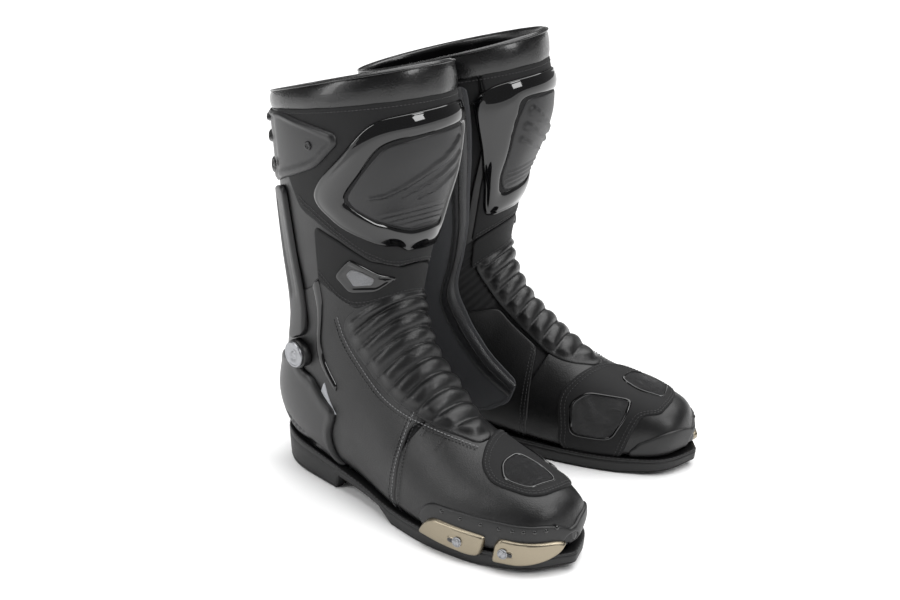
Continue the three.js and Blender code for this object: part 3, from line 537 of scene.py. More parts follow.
def grown(thing, tree, **inputs):
    """Runs a Geometry Nodes group on an object and keeps the result as its plain mesh."""
    modifier = thing.modifiers.new("repeat", "NODES")
    modifier.node_group = tree
    for socket in tree.interface.items_tree:
        if socket.in_out == "INPUT" and socket.name in inputs:
            modifier[socket.identifier] = inputs[socket.name]
    bpy.context.view_layer.update()
    graph = bpy.context.evaluated_depsgraph_get()
    mesh = bpy.data.meshes.new_from_object(thing.evaluated_get(graph))
    thing.modifiers.clear()
    thing.data = mesh
    mesh.polygons.foreach_set("use_smooth", [True] * len(mesh.polygons))
    return thing


def stitched(name, lines, height, look, rides, pitch=3.1, length=1.15, radius=0.42):
    """Rows of stitches along flat lines, sunk a little into the leather they hold."""
    for side in SIDES:
        vertices, edges = [], []
        for line in lines:
            spots = resample(np.asarray(line, float), 1.5, closed=False)
            s, deg = (spots / [ROW_MM, DEG_MM]).T
            level = height(s, deg) if callable(height) else np.full(len(s), float(height))
            first = len(vertices)
            vertices += list(placed(skin(s, deg, level), side))
            edges += [(k, k + 1) for k in range(first, len(vertices) - 1)]
        mesh = bpy.data.meshes.new(named(side, name))
        mesh.from_pydata([tuple(v) for v in vertices], edges, [])
        thing = bpy.data.objects.new(named(side, name), mesh)
        bpy.context.scene.collection.objects.link(thing)
        grown(thing, STITCHES, Pitch=pitch / 1000, Length=length / 1000, Radius=radius / 1000,
            Material=look)
        attach(thing, side, rides)


def copied_at(name, at, facing, model, look, rides, stands_for=(), spin=0.0):
    """Copies of a small model at boot points, each facing its own way."""
    for side in SIDES:
        base = placed(at, side)
        mesh = bpy.data.meshes.new(named(side, name))
        mesh.from_pydata([tuple(v) for v in base], [], [])
        arrows = placed(at + facing, side) - base
        mesh.attributes.new("facing", "FLOAT_VECTOR", "POINT").data.foreach_set("vector", arrows.ravel())
        thing = bpy.data.objects.new(named(side, name), mesh)
        bpy.context.scene.collection.objects.link(thing)
        grown(thing, COPIES, Model=model, Size=1.0, Spin=spin, Material=look)
        if stands_for:
            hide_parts(*[f"{side}_{one}" for one in stands_for])
        attach(thing, side, rides)


def copied(name, places, height, model, look, rides, stands_for=(), spin=0.0):
    """Copies of a small model on the last at [section, degrees] places."""
    s, deg = np.array(places, float).T
    copied_at(name, skin(s, deg, np.full(len(s), height)), normal(s, deg), model, look, rides,
        stands_for, spin)


def turned_model(name, profile, sides=32, slot_width=0.0):
    """A small turned model in metres from [radius, height] corners in millimetres, kept hidden."""
    angles = np.linspace(0, 2 * np.pi, sides, endpoint=False)
    points = [(r * math.cos(a), r * math.sin(a), h) for r, h in profile for a in angles]
    if slot_width:
        points = [(x, y, z - 0.9 if abs(y) < slot_width and z > 1.0 else z) for x, y, z in points]
    faces = []
    for i in range(len(profile) - 1):
        for j in range(sides):
            k = (j + 1) % sides
            faces.append((i * sides + j, i * sides + k, (i + 1) * sides + k, (i + 1) * sides + j))
    thing = mesh_object(name, np.array(points) / 1000, faces, NICKEL)
    thing.hide_render = thing.hide_viewport = True
    return thing


def run(loop, distance, start=0.0, end=1.0):
    """Part of a panel's edge line, moved inward; start and end are shares of the way round."""
    line = inset(resample(loop, 1.5), distance)
    count = len(line)
    keep = [line[int(k) % count] for k in range(int(start * count), int(end * count))]
    return np.array(keep)


# %% [markdown]
# ## Places on the last
# Where a piece's edge follows the sole, a cut line across the foot, or the rays that keep the
# foot and the shaft apart, the section or angle is found by halving an interval.

# %% Places
def solve(value, low, high):
    """The number between low and high where a rising value passes zero."""
    for _ in range(40):
        middle = (low + high) / 2
        low, high = (middle, high) if value(middle) < 0 else (low, middle)
    return (low + high) / 2


def smoothstep(x, low, high):
    t = np.clip((np.asarray(x, float) - low) / (high - low), 0, 1)
    return t * t * (3 - 2 * t)


def sole_top(x):
    return 14 + 16 * (1 - smoothstep(x, 5, 190)) + 2 * smoothstep(x, 235, 319)


def sole_angle(s, side, clearance=0.5):
    """The angle where a foot shell meets the sole's edge on the outer (1) or inner (-1) side."""

    def gap(deg):
        x, _, z = last(s, side * deg)
        return sole_top(x) + clearance - z

    return side * solve(gap, 70, 178)


def row_at(deg, x):
    """The section where the column at deg reaches x along the foot."""
    return solve(lambda s: x - last(s, deg)[0], 0.1, 9)


def row_on_rays(deg, front, back):
    """The section where the column at deg crosses a line bent at the ankle hinge."""

    def over(s):
        x, _, z = last(s, deg)
        ray = math.tan(math.radians(front if x > PIVOT[0] else back))
        return z - PIVOT[2] - ray * abs(x - PIVOT[0])

    return solve(over, 4, 14)


def smooth_loop(places, count, closed=True):
    """A smooth line through flat places, by Catmull-Rom."""
    p = flat(places)
    n = len(p)
    spans = n if closed else n - 1
    at = np.linspace(0, spans, count, endpoint=not closed)
    i = np.minimum(np.floor(at).astype(int), spans - 1)
    t = (at - i)[:, None]
    pick = (lambda k: p[k % n]) if closed else (lambda k: p[np.clip(k, 0, n - 1)])
    p0, p1, p2, p3 = (pick(i + k) for k in (-1, 0, 1, 2))
    v0, v1 = (p2 - p0) / 2, (p3 - p1) / 2
    return ((2 * p1 - 2 * p2 + v0 + v1) * t + (-3 * p1 + 3 * p2 - 2 * v0 - v1)) * t**2 + v0 * t + p1


def ribbon(name, outer, inner, profile, look, rides, stands_for=(), closed=True):
    """A moulded band between two flat lines with as many points; profile is (share across, height)."""
    count = len(outer)
    points, uv = [], []
    length = np.r_[0, np.cumsum(np.linalg.norm(np.diff(outer, axis=0), axis=1))]
    for share, height in profile:
        line = outer + (inner - outer) * share
        s, deg = (line / [ROW_MM, DEG_MM]).T
        points += list(skin(np.clip(s, 0.02, TOP), deg, np.full(count, float(height))))
        uv += list(np.stack([length, np.full(count, share * 10)], -1))
    faces = []
    for i in range(len(profile) - 1):
        for j in range(count if closed else count - 1):
            k = (j + 1) % count
            faces.append((i * count + j, i * count + k, (i + 1) * count + k, (i + 1) * count + j))
    points = np.array(points)
    middle = len(profile) // 2 * count
    s, deg = (outer[0] / [ROW_MM, DEG_MM])
    quad = points[[middle, middle + 1, middle + count]] if len(profile) > 2 else points[[0, 1, count]]
    if np.cross(quad[1] - quad[0], quad[2] - quad[0]) @ normal(s, deg) < 0:
        faces = [tuple(reversed(face)) for face in faces]
    return piece(name, points, faces, look, rides, stands_for, np.array(uv))


def piping(name, line, height, radius, look, rides, closed=False):
    """A round cord sewn along a flat line."""
    s, deg = (np.asarray(line) / [ROW_MM, DEG_MM]).T
    s = np.clip(s, 0.05, TOP)
    centre = skin(s, deg, np.full(len(s), float(height)))
    up = normal(s, deg)
    ahead = np.roll(centre, -1, 0) - np.roll(centre, 1, 0)
    if not closed:
        ahead[0], ahead[-1] = centre[1] - centre[0], centre[-1] - centre[-2]
    ahead /= np.maximum(np.linalg.norm(ahead, axis=1, keepdims=True), 1e-9)
    side_way = np.cross(ahead, up)
    sides, count = 8, len(centre)
    points = [centre + radius * (math.cos(a) * up + math.sin(a) * side_way)
        for a in np.linspace(0, 2 * np.pi, sides, endpoint=False)]
    points = np.concatenate(points)
    faces = []
    for i in range(sides):
        for j in range(count if closed else count - 1):
            k, n = (j + 1) % count, (i + 1) % sides
            faces.append((i * count + j, i * count + k, n * count + k, n * count + j))
    return piece(name, points, faces, look, rides)


def on_side(name, profile, origin, look, rides, stands_for=(), sides=64):
    """A turned piece whose axis runs outward along -Y from a point of the boot."""
    angles = np.linspace(0, 2 * np.pi, sides, endpoint=False)
    points = [origin + np.array([r * math.cos(a), -h, r * math.sin(a)]) for r, h in profile for a in angles]
    faces = []
    for i in range(len(profile) - 1):
        for j in range(sides):
            k = (j + 1) % sides
            faces.append((i * sides + j, i * sides + k, (i + 1) * sides + k, (i + 1) * sides + j))
    return piece(name, np.array(points), faces, look, rides, stands_for)


# %% [markdown]
# ## Inside: lining, footbed and the soft gusset behind the ankle

# %% Inside
FOOT_EDGE = (8, -13)
def wrinkle(s, deg):
    """Soft leather wrinkles, 14 mm across and up to 0.7 mm high."""
    at = np.stack([s.ravel() * ROW_MM, deg.ravel() * DEG_MM], -1)
    return 0.7 * rough(at, 14, 2).reshape(s.shape)


loft("lining", [(s, -1.6) for s in np.r_[0.3:15.3:0.3]], LINING, "bend",
    ("foot_lining", "shaft_lining"), columns=120)
loft("ankle gusset", [(s, 0.2) for s in np.r_[7.6:11.6:0.05]], MICROFIBRE, "bend",
    columns=120,
     shift=lambda s, deg: 0.5 * np.cos(s * 2 * np.pi * 4))
footbed = [[1.9, 145], [1.9, 215], [3, 218], [5, 217], [7.9, 214], [7.9, 146], [5, 143], [3, 142]]
panel("footbed", footbed, -3.0, -7.2, FOOTBED, "foot", ("footbed",), step=3, roll=2)
board = [[1.5, 141], [1.5, 219], [8.1, 219], [8.1, 141]]
panel("insole board", board, -2.2, -3.4, FOOTBED, "foot", ("insole_board",), step=4)

# %% [markdown]
# ## Foot leather: the vamp, both quarters and the padded ribs over the instep

# %% Foot leather
BOTTOM = 120
creases = lambda s, deg: (
    0.45 * rough(np.stack([s * ROW_MM, deg * DEG_MM * 0.5], -1), 26, 4)
    + 0.16 * rough(np.stack([s * ROW_MM, deg * DEG_MM * 0.6], -1), 9, 8)
)
seam_front = [[min(row_at(d, 174), 5.35), d] for d in range(-BOTTOM, BOTTOM + 1, 12)]
toe = [[0.04, d] for d in range(BOTTOM, -BOTTOM - 1, -12)]
panel("vamp", seam_front + toe, -0.4, 1.3, SMOOTH_LEATHER, "foot", ("vamp",), radius=2,
    relief=lambda s, d, e: creases(s, d))

seam = [[min(row_at(d, 178), 6.4), d] for d in (45, 60, 75, 90, 105, BOTTOM)]
quarter = [
    [5.3, 30], *seam, [5.6, 134], [7, 143], [7.8, 153], [8.2, 165], [8.3, 180], [8.2, 194],
    [10.6, 210], [11.3, 180], [11.2, 150], [11.0, 110], [10.9, 70], [10.4, 40], [8, 30],
]
panel("outer quarter", quarter, 0.6, 2.1, SMOOTH_LEATHER, "bend", ("ankle_quarter",),
                        radius=4, roll=0.9, relief=lambda s, d, e: 1.2 * creases(s, d))
seam_line = smooth_loop([[min(row_at(d, 178), 6.4), d] for d in range(34, 124, 8)], 160, closed=False)
stitched("outer seam, grey row", [seam_line + [2.4, 0]], 2.35, GREY_THREAD, "bend", radius=0.42)
stitched("outer seam, black row", [seam_line + [5.2, 0], seam_line - [2.6, 0]], 2.3, THREAD, "bend")

inner_seam = [[min(row_at(d, 178), 6.4), d] for d in (-34, -60, -75, -90, -105, -BOTTOM)]
inner_top = [[min(row_on_rays(d, *FOOT_EDGE), 9) - 0.05, d] for d in (-BOTTOM, -105, -90, -75, -60, -34)]
inner_quarter = [*inner_seam, [5.6, -134], [7, -143], [7.8, -153], [8.2, -166], [9, -166], *inner_top]
panel("inner quarter", inner_quarter, 0.6, 2.0, SMOOTH_LEATHER, "foot", ("medial_quarter",),
    roll=0.9,
      relief=lambda s, d, e: creases(s, d))
inner_line = smooth_loop([[min(row_at(d, 178), 6.4), d] for d in range(-124, -30, 8)], 160, closed=False)
stitched("inner seam", [inner_line + [2.4, 0], inner_line + [4.8, 0]], 2.2, THREAD, "foot")

RIB_LOW, RIB_HIGH, RIBS = 4.2, 9.0, 9
bow = lambda s, deg: s + 0.16 * (np.asarray(deg) / 45) ** 2


def ribs(s, deg, distance):
    """Padded ribs over the instep, bowed downward at the middle, flat at their ends."""
    phase = (bow(s, deg) - RIB_LOW) / ((RIB_HIGH - RIB_LOW) / RIBS)
    puff = np.abs(np.sin(np.pi * phase)) ** 0.55
    fade = smoothstep(distance, 1.5, 9)
    crumple = 0.35 * rough(np.stack([s * ROW_MM, deg * DEG_MM], -1), 7, 5)
    return fade * (3.9 * puff + crumple) - 0.2


accordion = [
    [4.05, 8], [4.9, 26], [6.2, 44], [7.8, 50], [9.5, 60], [9.6, 30],
    [9.3, -4], [9.4, -42], [8.4, -35], [7, -31], [5.4, -32], [4.7, -26], [4.05, -6],
]
pads, _ = panel("ribbed instep", accordion, 1.4, 3.0, PADDED_LEATHER, "bend",
                             ("instep_accordion",), step=1.3, radius=9, roll=1.6, relief=ribs)
creased = []
for k in range(1, RIBS):
    across = np.linspace(-28, 38 + 1.6 * k, 40)
    row = RIB_LOW + k * (RIB_HIGH - RIB_LOW) / RIBS
    creased.append(flat(np.stack([row - 0.16 * (across / 45) ** 2, across], -1)))
stitched("instep crease stitches", creased, 3.15, THREAD, "bend", pitch=2.6, length=0.95,
    radius=0.26)
rim_line = smooth_loop([[9.6, 64], [9.0, 58.5], [7.8, 52.5], [6.2, 47], [4.95, 29], [4.0, 12]], 200,
    closed=False)
stitched("instep edge, grey row", [rim_line], 2.45, GREY_THREAD, "bend", radius=0.4)
stitched("instep edge, black row", [rim_line + [0, 2.6]], 2.35, THREAD, "bend")

# %% [markdown]
# ## Toe and heel: rand, wear plates, gear-lever pad and heel cup

# %% Toe and heel
outer_seat = [[s, sole_angle(s, 1, -2)] for s in (3.7, 3, 2.2, 1.4, 0.8, 0.3)]
inner_seat = [[s, sole_angle(s, -1, -2)] for s in (0.3, 0.8, 1.4, 2.3)]
rand_top = [[2.3, -92], [1.6, -76], [0.9, -52], [0.5, -20], [0.45, 12], [0.8, 44], [1.2, 61], [1.7, 68],
    [2.4, 71], [3.2, 73], [3.95, 77], [4.15, 90]]
panel("toe rand", [*outer_seat, *inner_seat, *rand_top], 0.9, 3.1, RAND, "foot",
    ("toe_bumper",), step=1.8, radius=8, roll=2.2)
dome = turned_model("rand dome", [(1.9, -0.4), (1.85, 0.1), (1.5, 0.6), (0.9, 0.9), (0.01, 1.0)], 20)
dots = [[3.55, 80], [3.05, 79.5], [2.55, 79], [2.1, 78.5], [1.72, 76.5], [1.38, 73.5], [1.08, 68],
    [0.85, 58], [0.7, 40]]
copied("rand dots", dots, 3.0, dome, GLOSS, "foot")


def plate_skin(s, z, out):
    """Points of a wear plate's face: upright on the toe's widest line, out millimetres from it."""
    across = normal(s, 92.0) * [1, 1, 0]
    across /= np.linalg.norm(across, axis=-1, keepdims=True)
    lean = 0.05 * (z - 10)
    return last(s, 92.0) * [1, 1, 0] + across * (5.0 + out - lean)[:, None] + z[:, None] * [0, 0, 1]


def wear_plate(name, outline, high, look, stands_for=(), roll=1.6, low=-2.4):
    """An upright plate from an outline of [section, height above the ground]; its edge is bevelled."""
    corners = [[row, z / DEG_MM] for row, z in outline]
    points, faces, distance, _ = filled(corners, 1.0, 4.0, roll)
    s, z = points[:, 0] / ROW_MM, points[:, 1]
    rise = np.clip(distance / roll, 0, 1)
    crown = 0.5 * np.sin(np.clip((z - 8) / 21, 0, 1) * np.pi)
    shape = plate_skin(s, z, low + (high - low) * rise**0.6 + crown * rise)
    a, b, c = (shape[k] for k in faces[0][:3])
    if np.cross(b - a, c - a) @ normal(s[faces[0][0]], 92.0) < 0:
        faces = [tuple(reversed(face)) for face in faces]
    piece(name, shape, faces, look, "foot", stands_for, points)


FRONT_PLATE = [[2.2, 8], [1.4, 8.6], [0.98, 10.2], [0.62, 13.5], [0.36, 19], [0.22, 26], [0.45, 29],
    [1.0, 29.5], [2.0, 29.5], [2.12, 24]]
REAR_PLATE = [[4.1, 12], [3.4, 9.4], [2.75, 8], [2.46, 9.5], [2.38, 17], [2.32, 28.5], [3.0, 29.5],
    [3.7, 30], [3.95, 22]]
FRONT_SLOT = [[1.98, 15], [1.5, 15], [1.5, 22], [1.98, 22]]
REAR_SLOT = [[3.24, 14.5], [2.82, 14.5], [2.82, 21.5], [3.24, 21.5]]
for label, outline, slot in (("front", FRONT_PLATE, FRONT_SLOT), ("rear", REAR_PLATE, REAR_SLOT)):
    wear_plate(f"{label} toe slider", outline, 1.6, STEEL, (f"{label}_toe_slider",))
    wear_plate(f"{label} slider slot rim", slot, 2.25, STEEL, roll=1.0, low=1.0)
    inner = [[row + (0.03 if k in (1, 2) else -0.03), z + (1.3 if k < 2 else -1.3)] for k,
        (row, z) in enumerate(slot)]
    wear_plate(f"{label} slider slot", inner, 2.5, GLOSS, roll=0.5, low=2.0)
screw_profile = [(4.2, -0.3), (4.2, 0.6), (3.7, 1.0), (3.2, 0.7), (3.1, 0.5), (3.0, 1.6), (2.6, 2.0),
    (0.01, 2.05)]
screw = turned_model("slotted screw", screw_profile, 32, 0.7)
for label, row, height, spin in (("front", 1.84, 18.5, 0.6), ("rear", 2.96, 18.0, 1.2)):
    at = plate_skin(np.array([row]), np.array([height]), np.array([2.6]))
    facing = plate_skin(np.array([row]), np.array([height]), np.array([3.6])) - at
    copied_at(f"{label} slider screw", at, facing, screw, SILVER, "foot",
        (f"{label}_slider_screw",), spin)

pad = [
    [2.0, 26], [2.9, 34], [3.5, 24], [4.05, 0], [4.35, -30], [4.55, -58], [4.2, -84],
    *[[s, sole_angle(s, -1, 1)] for s in (3.9, 3.2, 2.5)], [2.4, -80], [2.3, -50], [1.8, -40], [1.65, -10],
    [1.7, 12],
]
_, pad_edge = panel("gear-lever pad", pad, 1.1, 3.2, MICROFIBRE, "foot", ("shift_pad",),
    step=1.6, radius=10, roll=1.5)
stitched("gear-lever pad stitches", [run(pad_edge, 2.2), run(pad_edge, 4.6)], 3.25, THREAD, "foot")
for label, window in (
    ("top", [[2.15, 18], [2.75, 24], [3.2, 10], [3.3, -10], [2.7, -16], [2.0, -12]]),
    ("side", [[2.75, -34], [3.9, -44], [4.15, -60], [3.85, -88], [2.85, -86], [2.7, -60]]),
):
    panel(f"{label} pad mesh", window, 2.8, 3.7, PAD_MESH, "foot", step=1.4, radius=5,
        roll=1.0)
    rim = resample(rounded(window, 6), 1.0)
    middle = rim.mean(0)
    ribbon(f"{label} pad rim", middle + (rim - middle) * 1.07, middle + (rim - middle) * 0.93,
           [(0, 2.6), (0.12, 3.8), (0.5, 4.4), (0.88, 3.9), (1, 3.0)], GLOSS, "foot")

cup_back = [[8.0 + 0.15 * (1 - abs(d - 180) / 40), d] for d in (150, 165, 180, 195, 210)]
cup_top = [[row_on_rays(d, *FOOT_EDGE) - 0.12, d] for d in (220, 200, 180, 160, 140, 120, 108, 98)]
cup = [[6.5, 131], [7, 137], *cup_back, [7.0, 223], [7.6, 262], [8.8, 240], *cup_top, [8.5, 86], [7.4, 83]]
fin_window = flat([[8.75, 137], [8.3, 142], [7.3, 133], [7.1, 118], [7.7, 116], [8.3, 124]])


def cup_relief(s, deg, distance):
    """A sunken window with three fins, and a ridge along the cup's front edge."""
    at = flat(np.stack([s, deg], -1))
    hole = inside(at, fin_window) * smoothstep(edge_distance(at, fin_window), 0, 1.6)
    along = (at - fin_window.mean(0)) @ np.array([0.78, -0.62])
    fins = smoothstep(np.cos(along * 2 * np.pi / 11), 0.0, 0.35)
    ridge = smoothstep(4.5 - distance, 0, 1.2) * smoothstep(distance, 0.5, 1.5)
    return -2.0 * hole * (1 - fins) + 0.5 * ridge


panel("heel cup", cup, 2.4, 5.9, MATTE, "foot", ("heel_cup",), step=1.3, radius=5, roll=2.0,
    relief=cup_relief)

# %% [markdown]
# ## Shaft: calf leather, shin panels, the glossy guard, its insert and the vent badge

# %% Shaft
calf = [
    [10.2, -58], [10.2, 38], [10.5, 70], [10.7, 110], [10.95, 150], [11.0, 180], [10.7, 207], [9.9, 230],
    [9.9, 281],
    [12, 281], [15.1, 280], *[[15.1, d] for d in (250, 210, 170, 130, 90, 50, 10, -30, -58)],
]
panel("calf leather", calf, -0.4, 1.4, SMOOTH_LEATHER, "shaft", ("calf_shell",), step=2.4,
    radius=3,
      relief=lambda s, d, e: creases(s, d))
upper_shin = [
    [10.25, -50], [10.25, 9], [10.85, 39], [11.85, 68], [12.75, 97], [13.6, 110], [15.08, 114],
    *[[15.08, d] for d in (80, 50, 20, -10, -40, -57)], [13, -53],
]
panel("upper shin panel", upper_shin, 1.0, 3.1, MICROFIBRE, "shaft", ("upper_shin_panel",),
    radius=3)
lower_line = smooth_loop([[10.32, -46], [10.32, 9], [10.93, 39], [11.95, 68], [12.85, 95]], 220,
    closed=False)
stitched("upper shin stitches", [lower_line + [0.6, 0], lower_line + [3.0, 0]], 3.15, THREAD, "shaft")

lower_shin = [
    [11, 86], [9.5, 48], [9.1, -4], [9.2, -44], [10.2, -48], [10.2, 9], [10.8, 39], [11.8, 68], [12.3, 86],
]
panel("lower shin panel", lower_shin, 1.6, 3.0, MICROFIBRE, "shaft", ("lower_shin_panel",),
    radius=4)
chevron_line = smooth_loop([[9.25, -42], [9.2, -4], [9.62, 48], [11.1, 84]], 200, closed=False)
stitched("lower shin stitches", [chevron_line + [0.3, 0], chevron_line + [2.8, 0]], 3.05, THREAD, "shaft")

GUARD = [
    [[13, 84], [12.8, 62]], [[13.8, 64], [13.3, 52]], [[14.5, 44], [13.95, 36]], [[14.7, 20], [14.1, 5]],
    [[14.75, -30], [14.15, -28]], [[14.6, -54], [13.7, -34]], [[14.1, -64], [13.2, -36]],
    [[13, -58], [12.6, -36]],
    [[12, -50], [12, -36]], [[11, -42], [11.5, -30]], [[10.75, -20], [11.4, -14]], [[10.75, 4], [11.4, 4]],
    [[11, 16], [11.6, 18]], [[11.2, 30], [11.8, 28]], [[11.6, 46], [12, 38]], [[12.3, 70], [12.5, 56]],
]
guard_rim, guard_window = (smooth_loop([pair[k] for pair in GUARD], 480) for k in (0, 1))
guard_profile = [
    (0, 2.2), (0.01, 3.6), (0.05, 4.8), (0.12, 5.2), (0.16, 5.1), (0.2, 5.4), (0.4, 6.2), (0.6, 6.3),
    (0.8, 5.7),
    (0.9, 5.0), (0.97, 4.0), (1, 2.6),
]
ribbon("shin frame", guard_rim, guard_window, guard_profile, GLOSS, "shaft", ("shin_frame",))

EMBLEM = [
    [[13.75, -22], [13.2, 2], [12.75, 30], [12.72, 46]], [[13.4, -26], [12.95, -4], [12.6, 20]],
    [[13.05, -28], [12.7, -10], [12.45, 6]],
]
EMBLEM_LINES = [smooth_loop(line, 60, closed=False) for line in EMBLEM]


def insert_relief(s, deg, distance):
    """A domed insert with fine ribs low down and three raised sweeping bars."""
    at = flat(np.stack([s, deg], -1))
    dome_height = 1.1 * smoothstep(distance, 0, 16)
    low_part = smoothstep(12.25 - s, 0, 0.15) * smoothstep(distance, 2, 4)
    fine = 0.5 * np.cos(2 * np.pi * s * ROW_MM / 4.2) * low_part
    bars = np.zeros(len(s))
    for line, wide in zip(EMBLEM_LINES, (3.4, 2.6, 2.0)):
        t = np.linspace(1, 0.15, len(line))
        gap = np.min(np.linalg.norm(at[:, None] - line[None], axis=2) / t[None], axis=1)
        bars = np.maximum(bars, smoothstep(wide - gap, 0, 0.9))
    return dome_height + fine + 1.6 * bars


insert = [[(q[0] - 12.8) * 0.985 + 12.8, (q[1] - 8) * 0.985 + 8] for _, q in GUARD]
panel("shin insert", insert, 2.2, 3.8, INSERT, "shaft", ("shin_insert",), step=1.2, radius=6,
    relief=insert_relief)

badge = [[10.9, 70], [11.2, 58], [10.75, 44], [10.3, 30], [9.9, 12], [9.75, 32], [10.15, 55]]
panel("vent badge", badge, 2.4, 4.6, GLOSS, "shaft", ("vent_badge",), step=1.0, radius=4,
    roll=1.0,
      relief=lambda s, d, e: -1.2 * smoothstep(e, 2.2, 3.4))
mesh_window = [[10.78, 60], [10.86, 55], [10.55, 44], [10.2, 34], [10.05, 36], [10.3, 52]]
panel("vent badge mesh", mesh_window, 3.2, 4.3, VENT_MESH, "shaft", step=1.0, radius=2,
    roll=0.8)

# %% [markdown]
# ## Ankle brace: calf plate, strut, rivet, glossy vent loop and reflective triangle

# %% Ankle brace
plate = [
    [14.95, 206], [14.95, 130], [14.97, 104], [14.35, 66], [14.05, 65], [13.55, 80], [13.4, 95],
    [13.25, 130],
    [13.15, 206], [13.75, 206], [13.82, 152], [14.08, 147], [14.35, 152], [14.38, 206],
]


def plate_relief(s, deg, distance):
    """A raised bevel round the plate and a step down to its fingers at the back."""
    rim_height = 1.1 * smoothstep(distance, 0.8, 2.0) * smoothstep(4.6 - distance, 0, 1.2)
    return rim_height - 1.6 * smoothstep(deg, 112, 120)


panel("calf plate", plate, 2.6, 5.2, MATTE, "shaft", ("calf_plate",), step=1.4, radius=5,
    roll=1.6, relief=plate_relief)
for row in (14.66, 14.1, 13.5):
    bar = [[row + 0.17, 204], [row + 0.17, 140], [row + 0.02, 126], [row - 0.15, 138], [row - 0.15, 204]]
    panel(f"calf plate finger {row}", bar, 3.2, 6.6, MATTE, "shaft", step=1.6, radius=4,
        roll=1.6)
cap_screw = turned_model("cap screw",
    [(3.6, -0.4), (3.6, 0.8), (3.2, 1.3), (1.8, 1.4), (1.7, 0.7), (0.01, 0.7)], 28)
copied("calf plate screws", [[14.05, 84], [13.62, 122]], 5.2, cap_screw, MATTE, "shaft")

arm = [
    [9.75, 92], [10.2, 94], [11.4, 103], [12.4, 108], [13.2, 112], [13.15, 140], [12.3, 132], [11.4, 124],
    [10.5, 116], [9.95, 114],
]
panel("ankle strut", arm, 2.4, 6.0, MATTE, "shaft", ("ankle_strut",), step=1.3, radius=5,
    roll=1.6,
      relief=lambda s, d,
      e: 1.6 * smoothstep(10.6 - s, 0, 0.8) - 1.1 * smoothstep(e, 4.5, 6) * smoothstep(s, 10.8, 11.1))
on_side("ankle strut eye", [(12.6, -3.5), (12.6, 2.2), (12.0, 3.2), (11.3, 3.4), (4, 3.4)], PIVOT, MATTE,
    "shaft")
disc = [(4, 2), (11.4, 3.6), (11.4, 5.4), (10.9, 6.3), (10.0, 6.6), (9.4, 6.1), (8.6, 5.9), (5.2, 6.1),
    (4.6, 5.5), (3.0, 5.5), (2.6, 6.0), (0.01, 6.0)]
on_side("ankle rivet", disc, PIVOT, SILVER, "foot", ("ankle_pivot_disc",))

loop = [[11.1, 86], [10.3, 80], [9.2, 76.5], [7.9, 73], [7.75, 75.5], [9.1, 80], [10.2, 84], [10.95, 90]]
panel("glossy vent loop", loop, 1.8, 4.4, GLOSS, "bend", step=1.0, radius=4, roll=1.5)
triangle = [[8.25, 80], [7.3, 84.5], [8.05, 88]]
panel("reflective triangle", triangle, 1.9, 2.7, REFLECTIVE, "bend", step=1.2, radius=2,
    roll=0.5)

# %% [markdown]
# ## Collar: a padded ring that rolls over the top line, with piping and wrinkled inner leather

# %% Collar
collar_rows = [
    (15.0, 0.6), (15.02, 1.8), (15.1, 2.8), (15.25, 3.6), (15.45, 3.9), (15.65, 3.7), (15.82, 3.0),
    (15.93, 2.0),
    (15.99, 0.8), (16.0, -0.6), (15.95, -1.8), (15.85, -2.6), (15.6, -3.2), (15.3, -3.3), (15.0, -3.0),
    (14.6, -2.2), (14.2, -1.7),
]
collars = loft("collar", collar_rows, COLLAR_LEATHER, "shaft", ("collar",), columns=360,
    shift=wrinkle)
around = flat([[15.88, d] for d in range(-180, 180, 2)])
piping("collar piping", around, 3.4, 1.0, COLLAR_LEATHER, "shaft", closed=True)
ring = flat([[15.0, d] for d in range(-180, 181, 2)])
stitched("collar stitches", [ring - [1.6, 0]], 3.2, THREAD, "shaft")

# %% [markdown]
# ## Zip: printed flap, printed tape, slider and puller on the inner side

# %% Zip
ZIP_ROWS = [5.6, 6.4, 7.2, 8, 9, 10, 11, 12, 13, 14, 14.8]
zip_line = lambda s: -62 - 12 * smoothstep(s, 10, 14) - 13 * (1 - smoothstep(s, 5, 8))
front_edge = [[s, float(zip_line(s)) + 8] for s in ZIP_ROWS]
flap_outline = [*front_edge[::-1], [5.5, -84], [6.1, -101], [6.9, -118], [9, -125], [11, -128], [13, -132],
    [14.85, -132]]
_, flap_edge = panel("printed flap", flap_outline, 1.4, 2.7, FLAP, "bend",
    ("storm_flap",), radius=5, roll=0.8,
                         relief=lambda s, d, e: 0.5 * creases(s, d))
stitched("flap stitches", [run(flap_edge, 2.4)], 2.8, THREAD, "bend")
half = lambda s, width: width / 2 * 180 / math.pi / 58
tape_outer, tape_inner = (
    smooth_loop([[s, float(zip_line(s)) + side * half(s, 11)] for s in ZIP_ROWS], 300, closed=False)
    for side in (1, -1)
)
ribbon("zip tape", tape_outer, tape_inner,
    [(0, 2.4), (0.03, 3.4), (0.3, 3.9), (0.5, 4.0), (0.7, 3.9), (0.97, 3.4), (1, 2.4)],
       TAPE, "bend", ("zip_chain",), closed=False)
middle_line = (tape_outer + tape_inner) / 2
stitched("zip teeth", [middle_line], 4.2, GLOSS, "bend", pitch=1.7, length=0.55, radius=1.1)

ZIP_START = np.array([114.35907, 65.44959, 314.38128])
ZIP_RUN = np.array([0.00303502, -0.10662296, -0.99429489])
ZIP_OUT = np.array([0.21784882, 0.97048918, -0.10340519])
ZIP_ACROSS = np.cross(ZIP_RUN, ZIP_OUT)


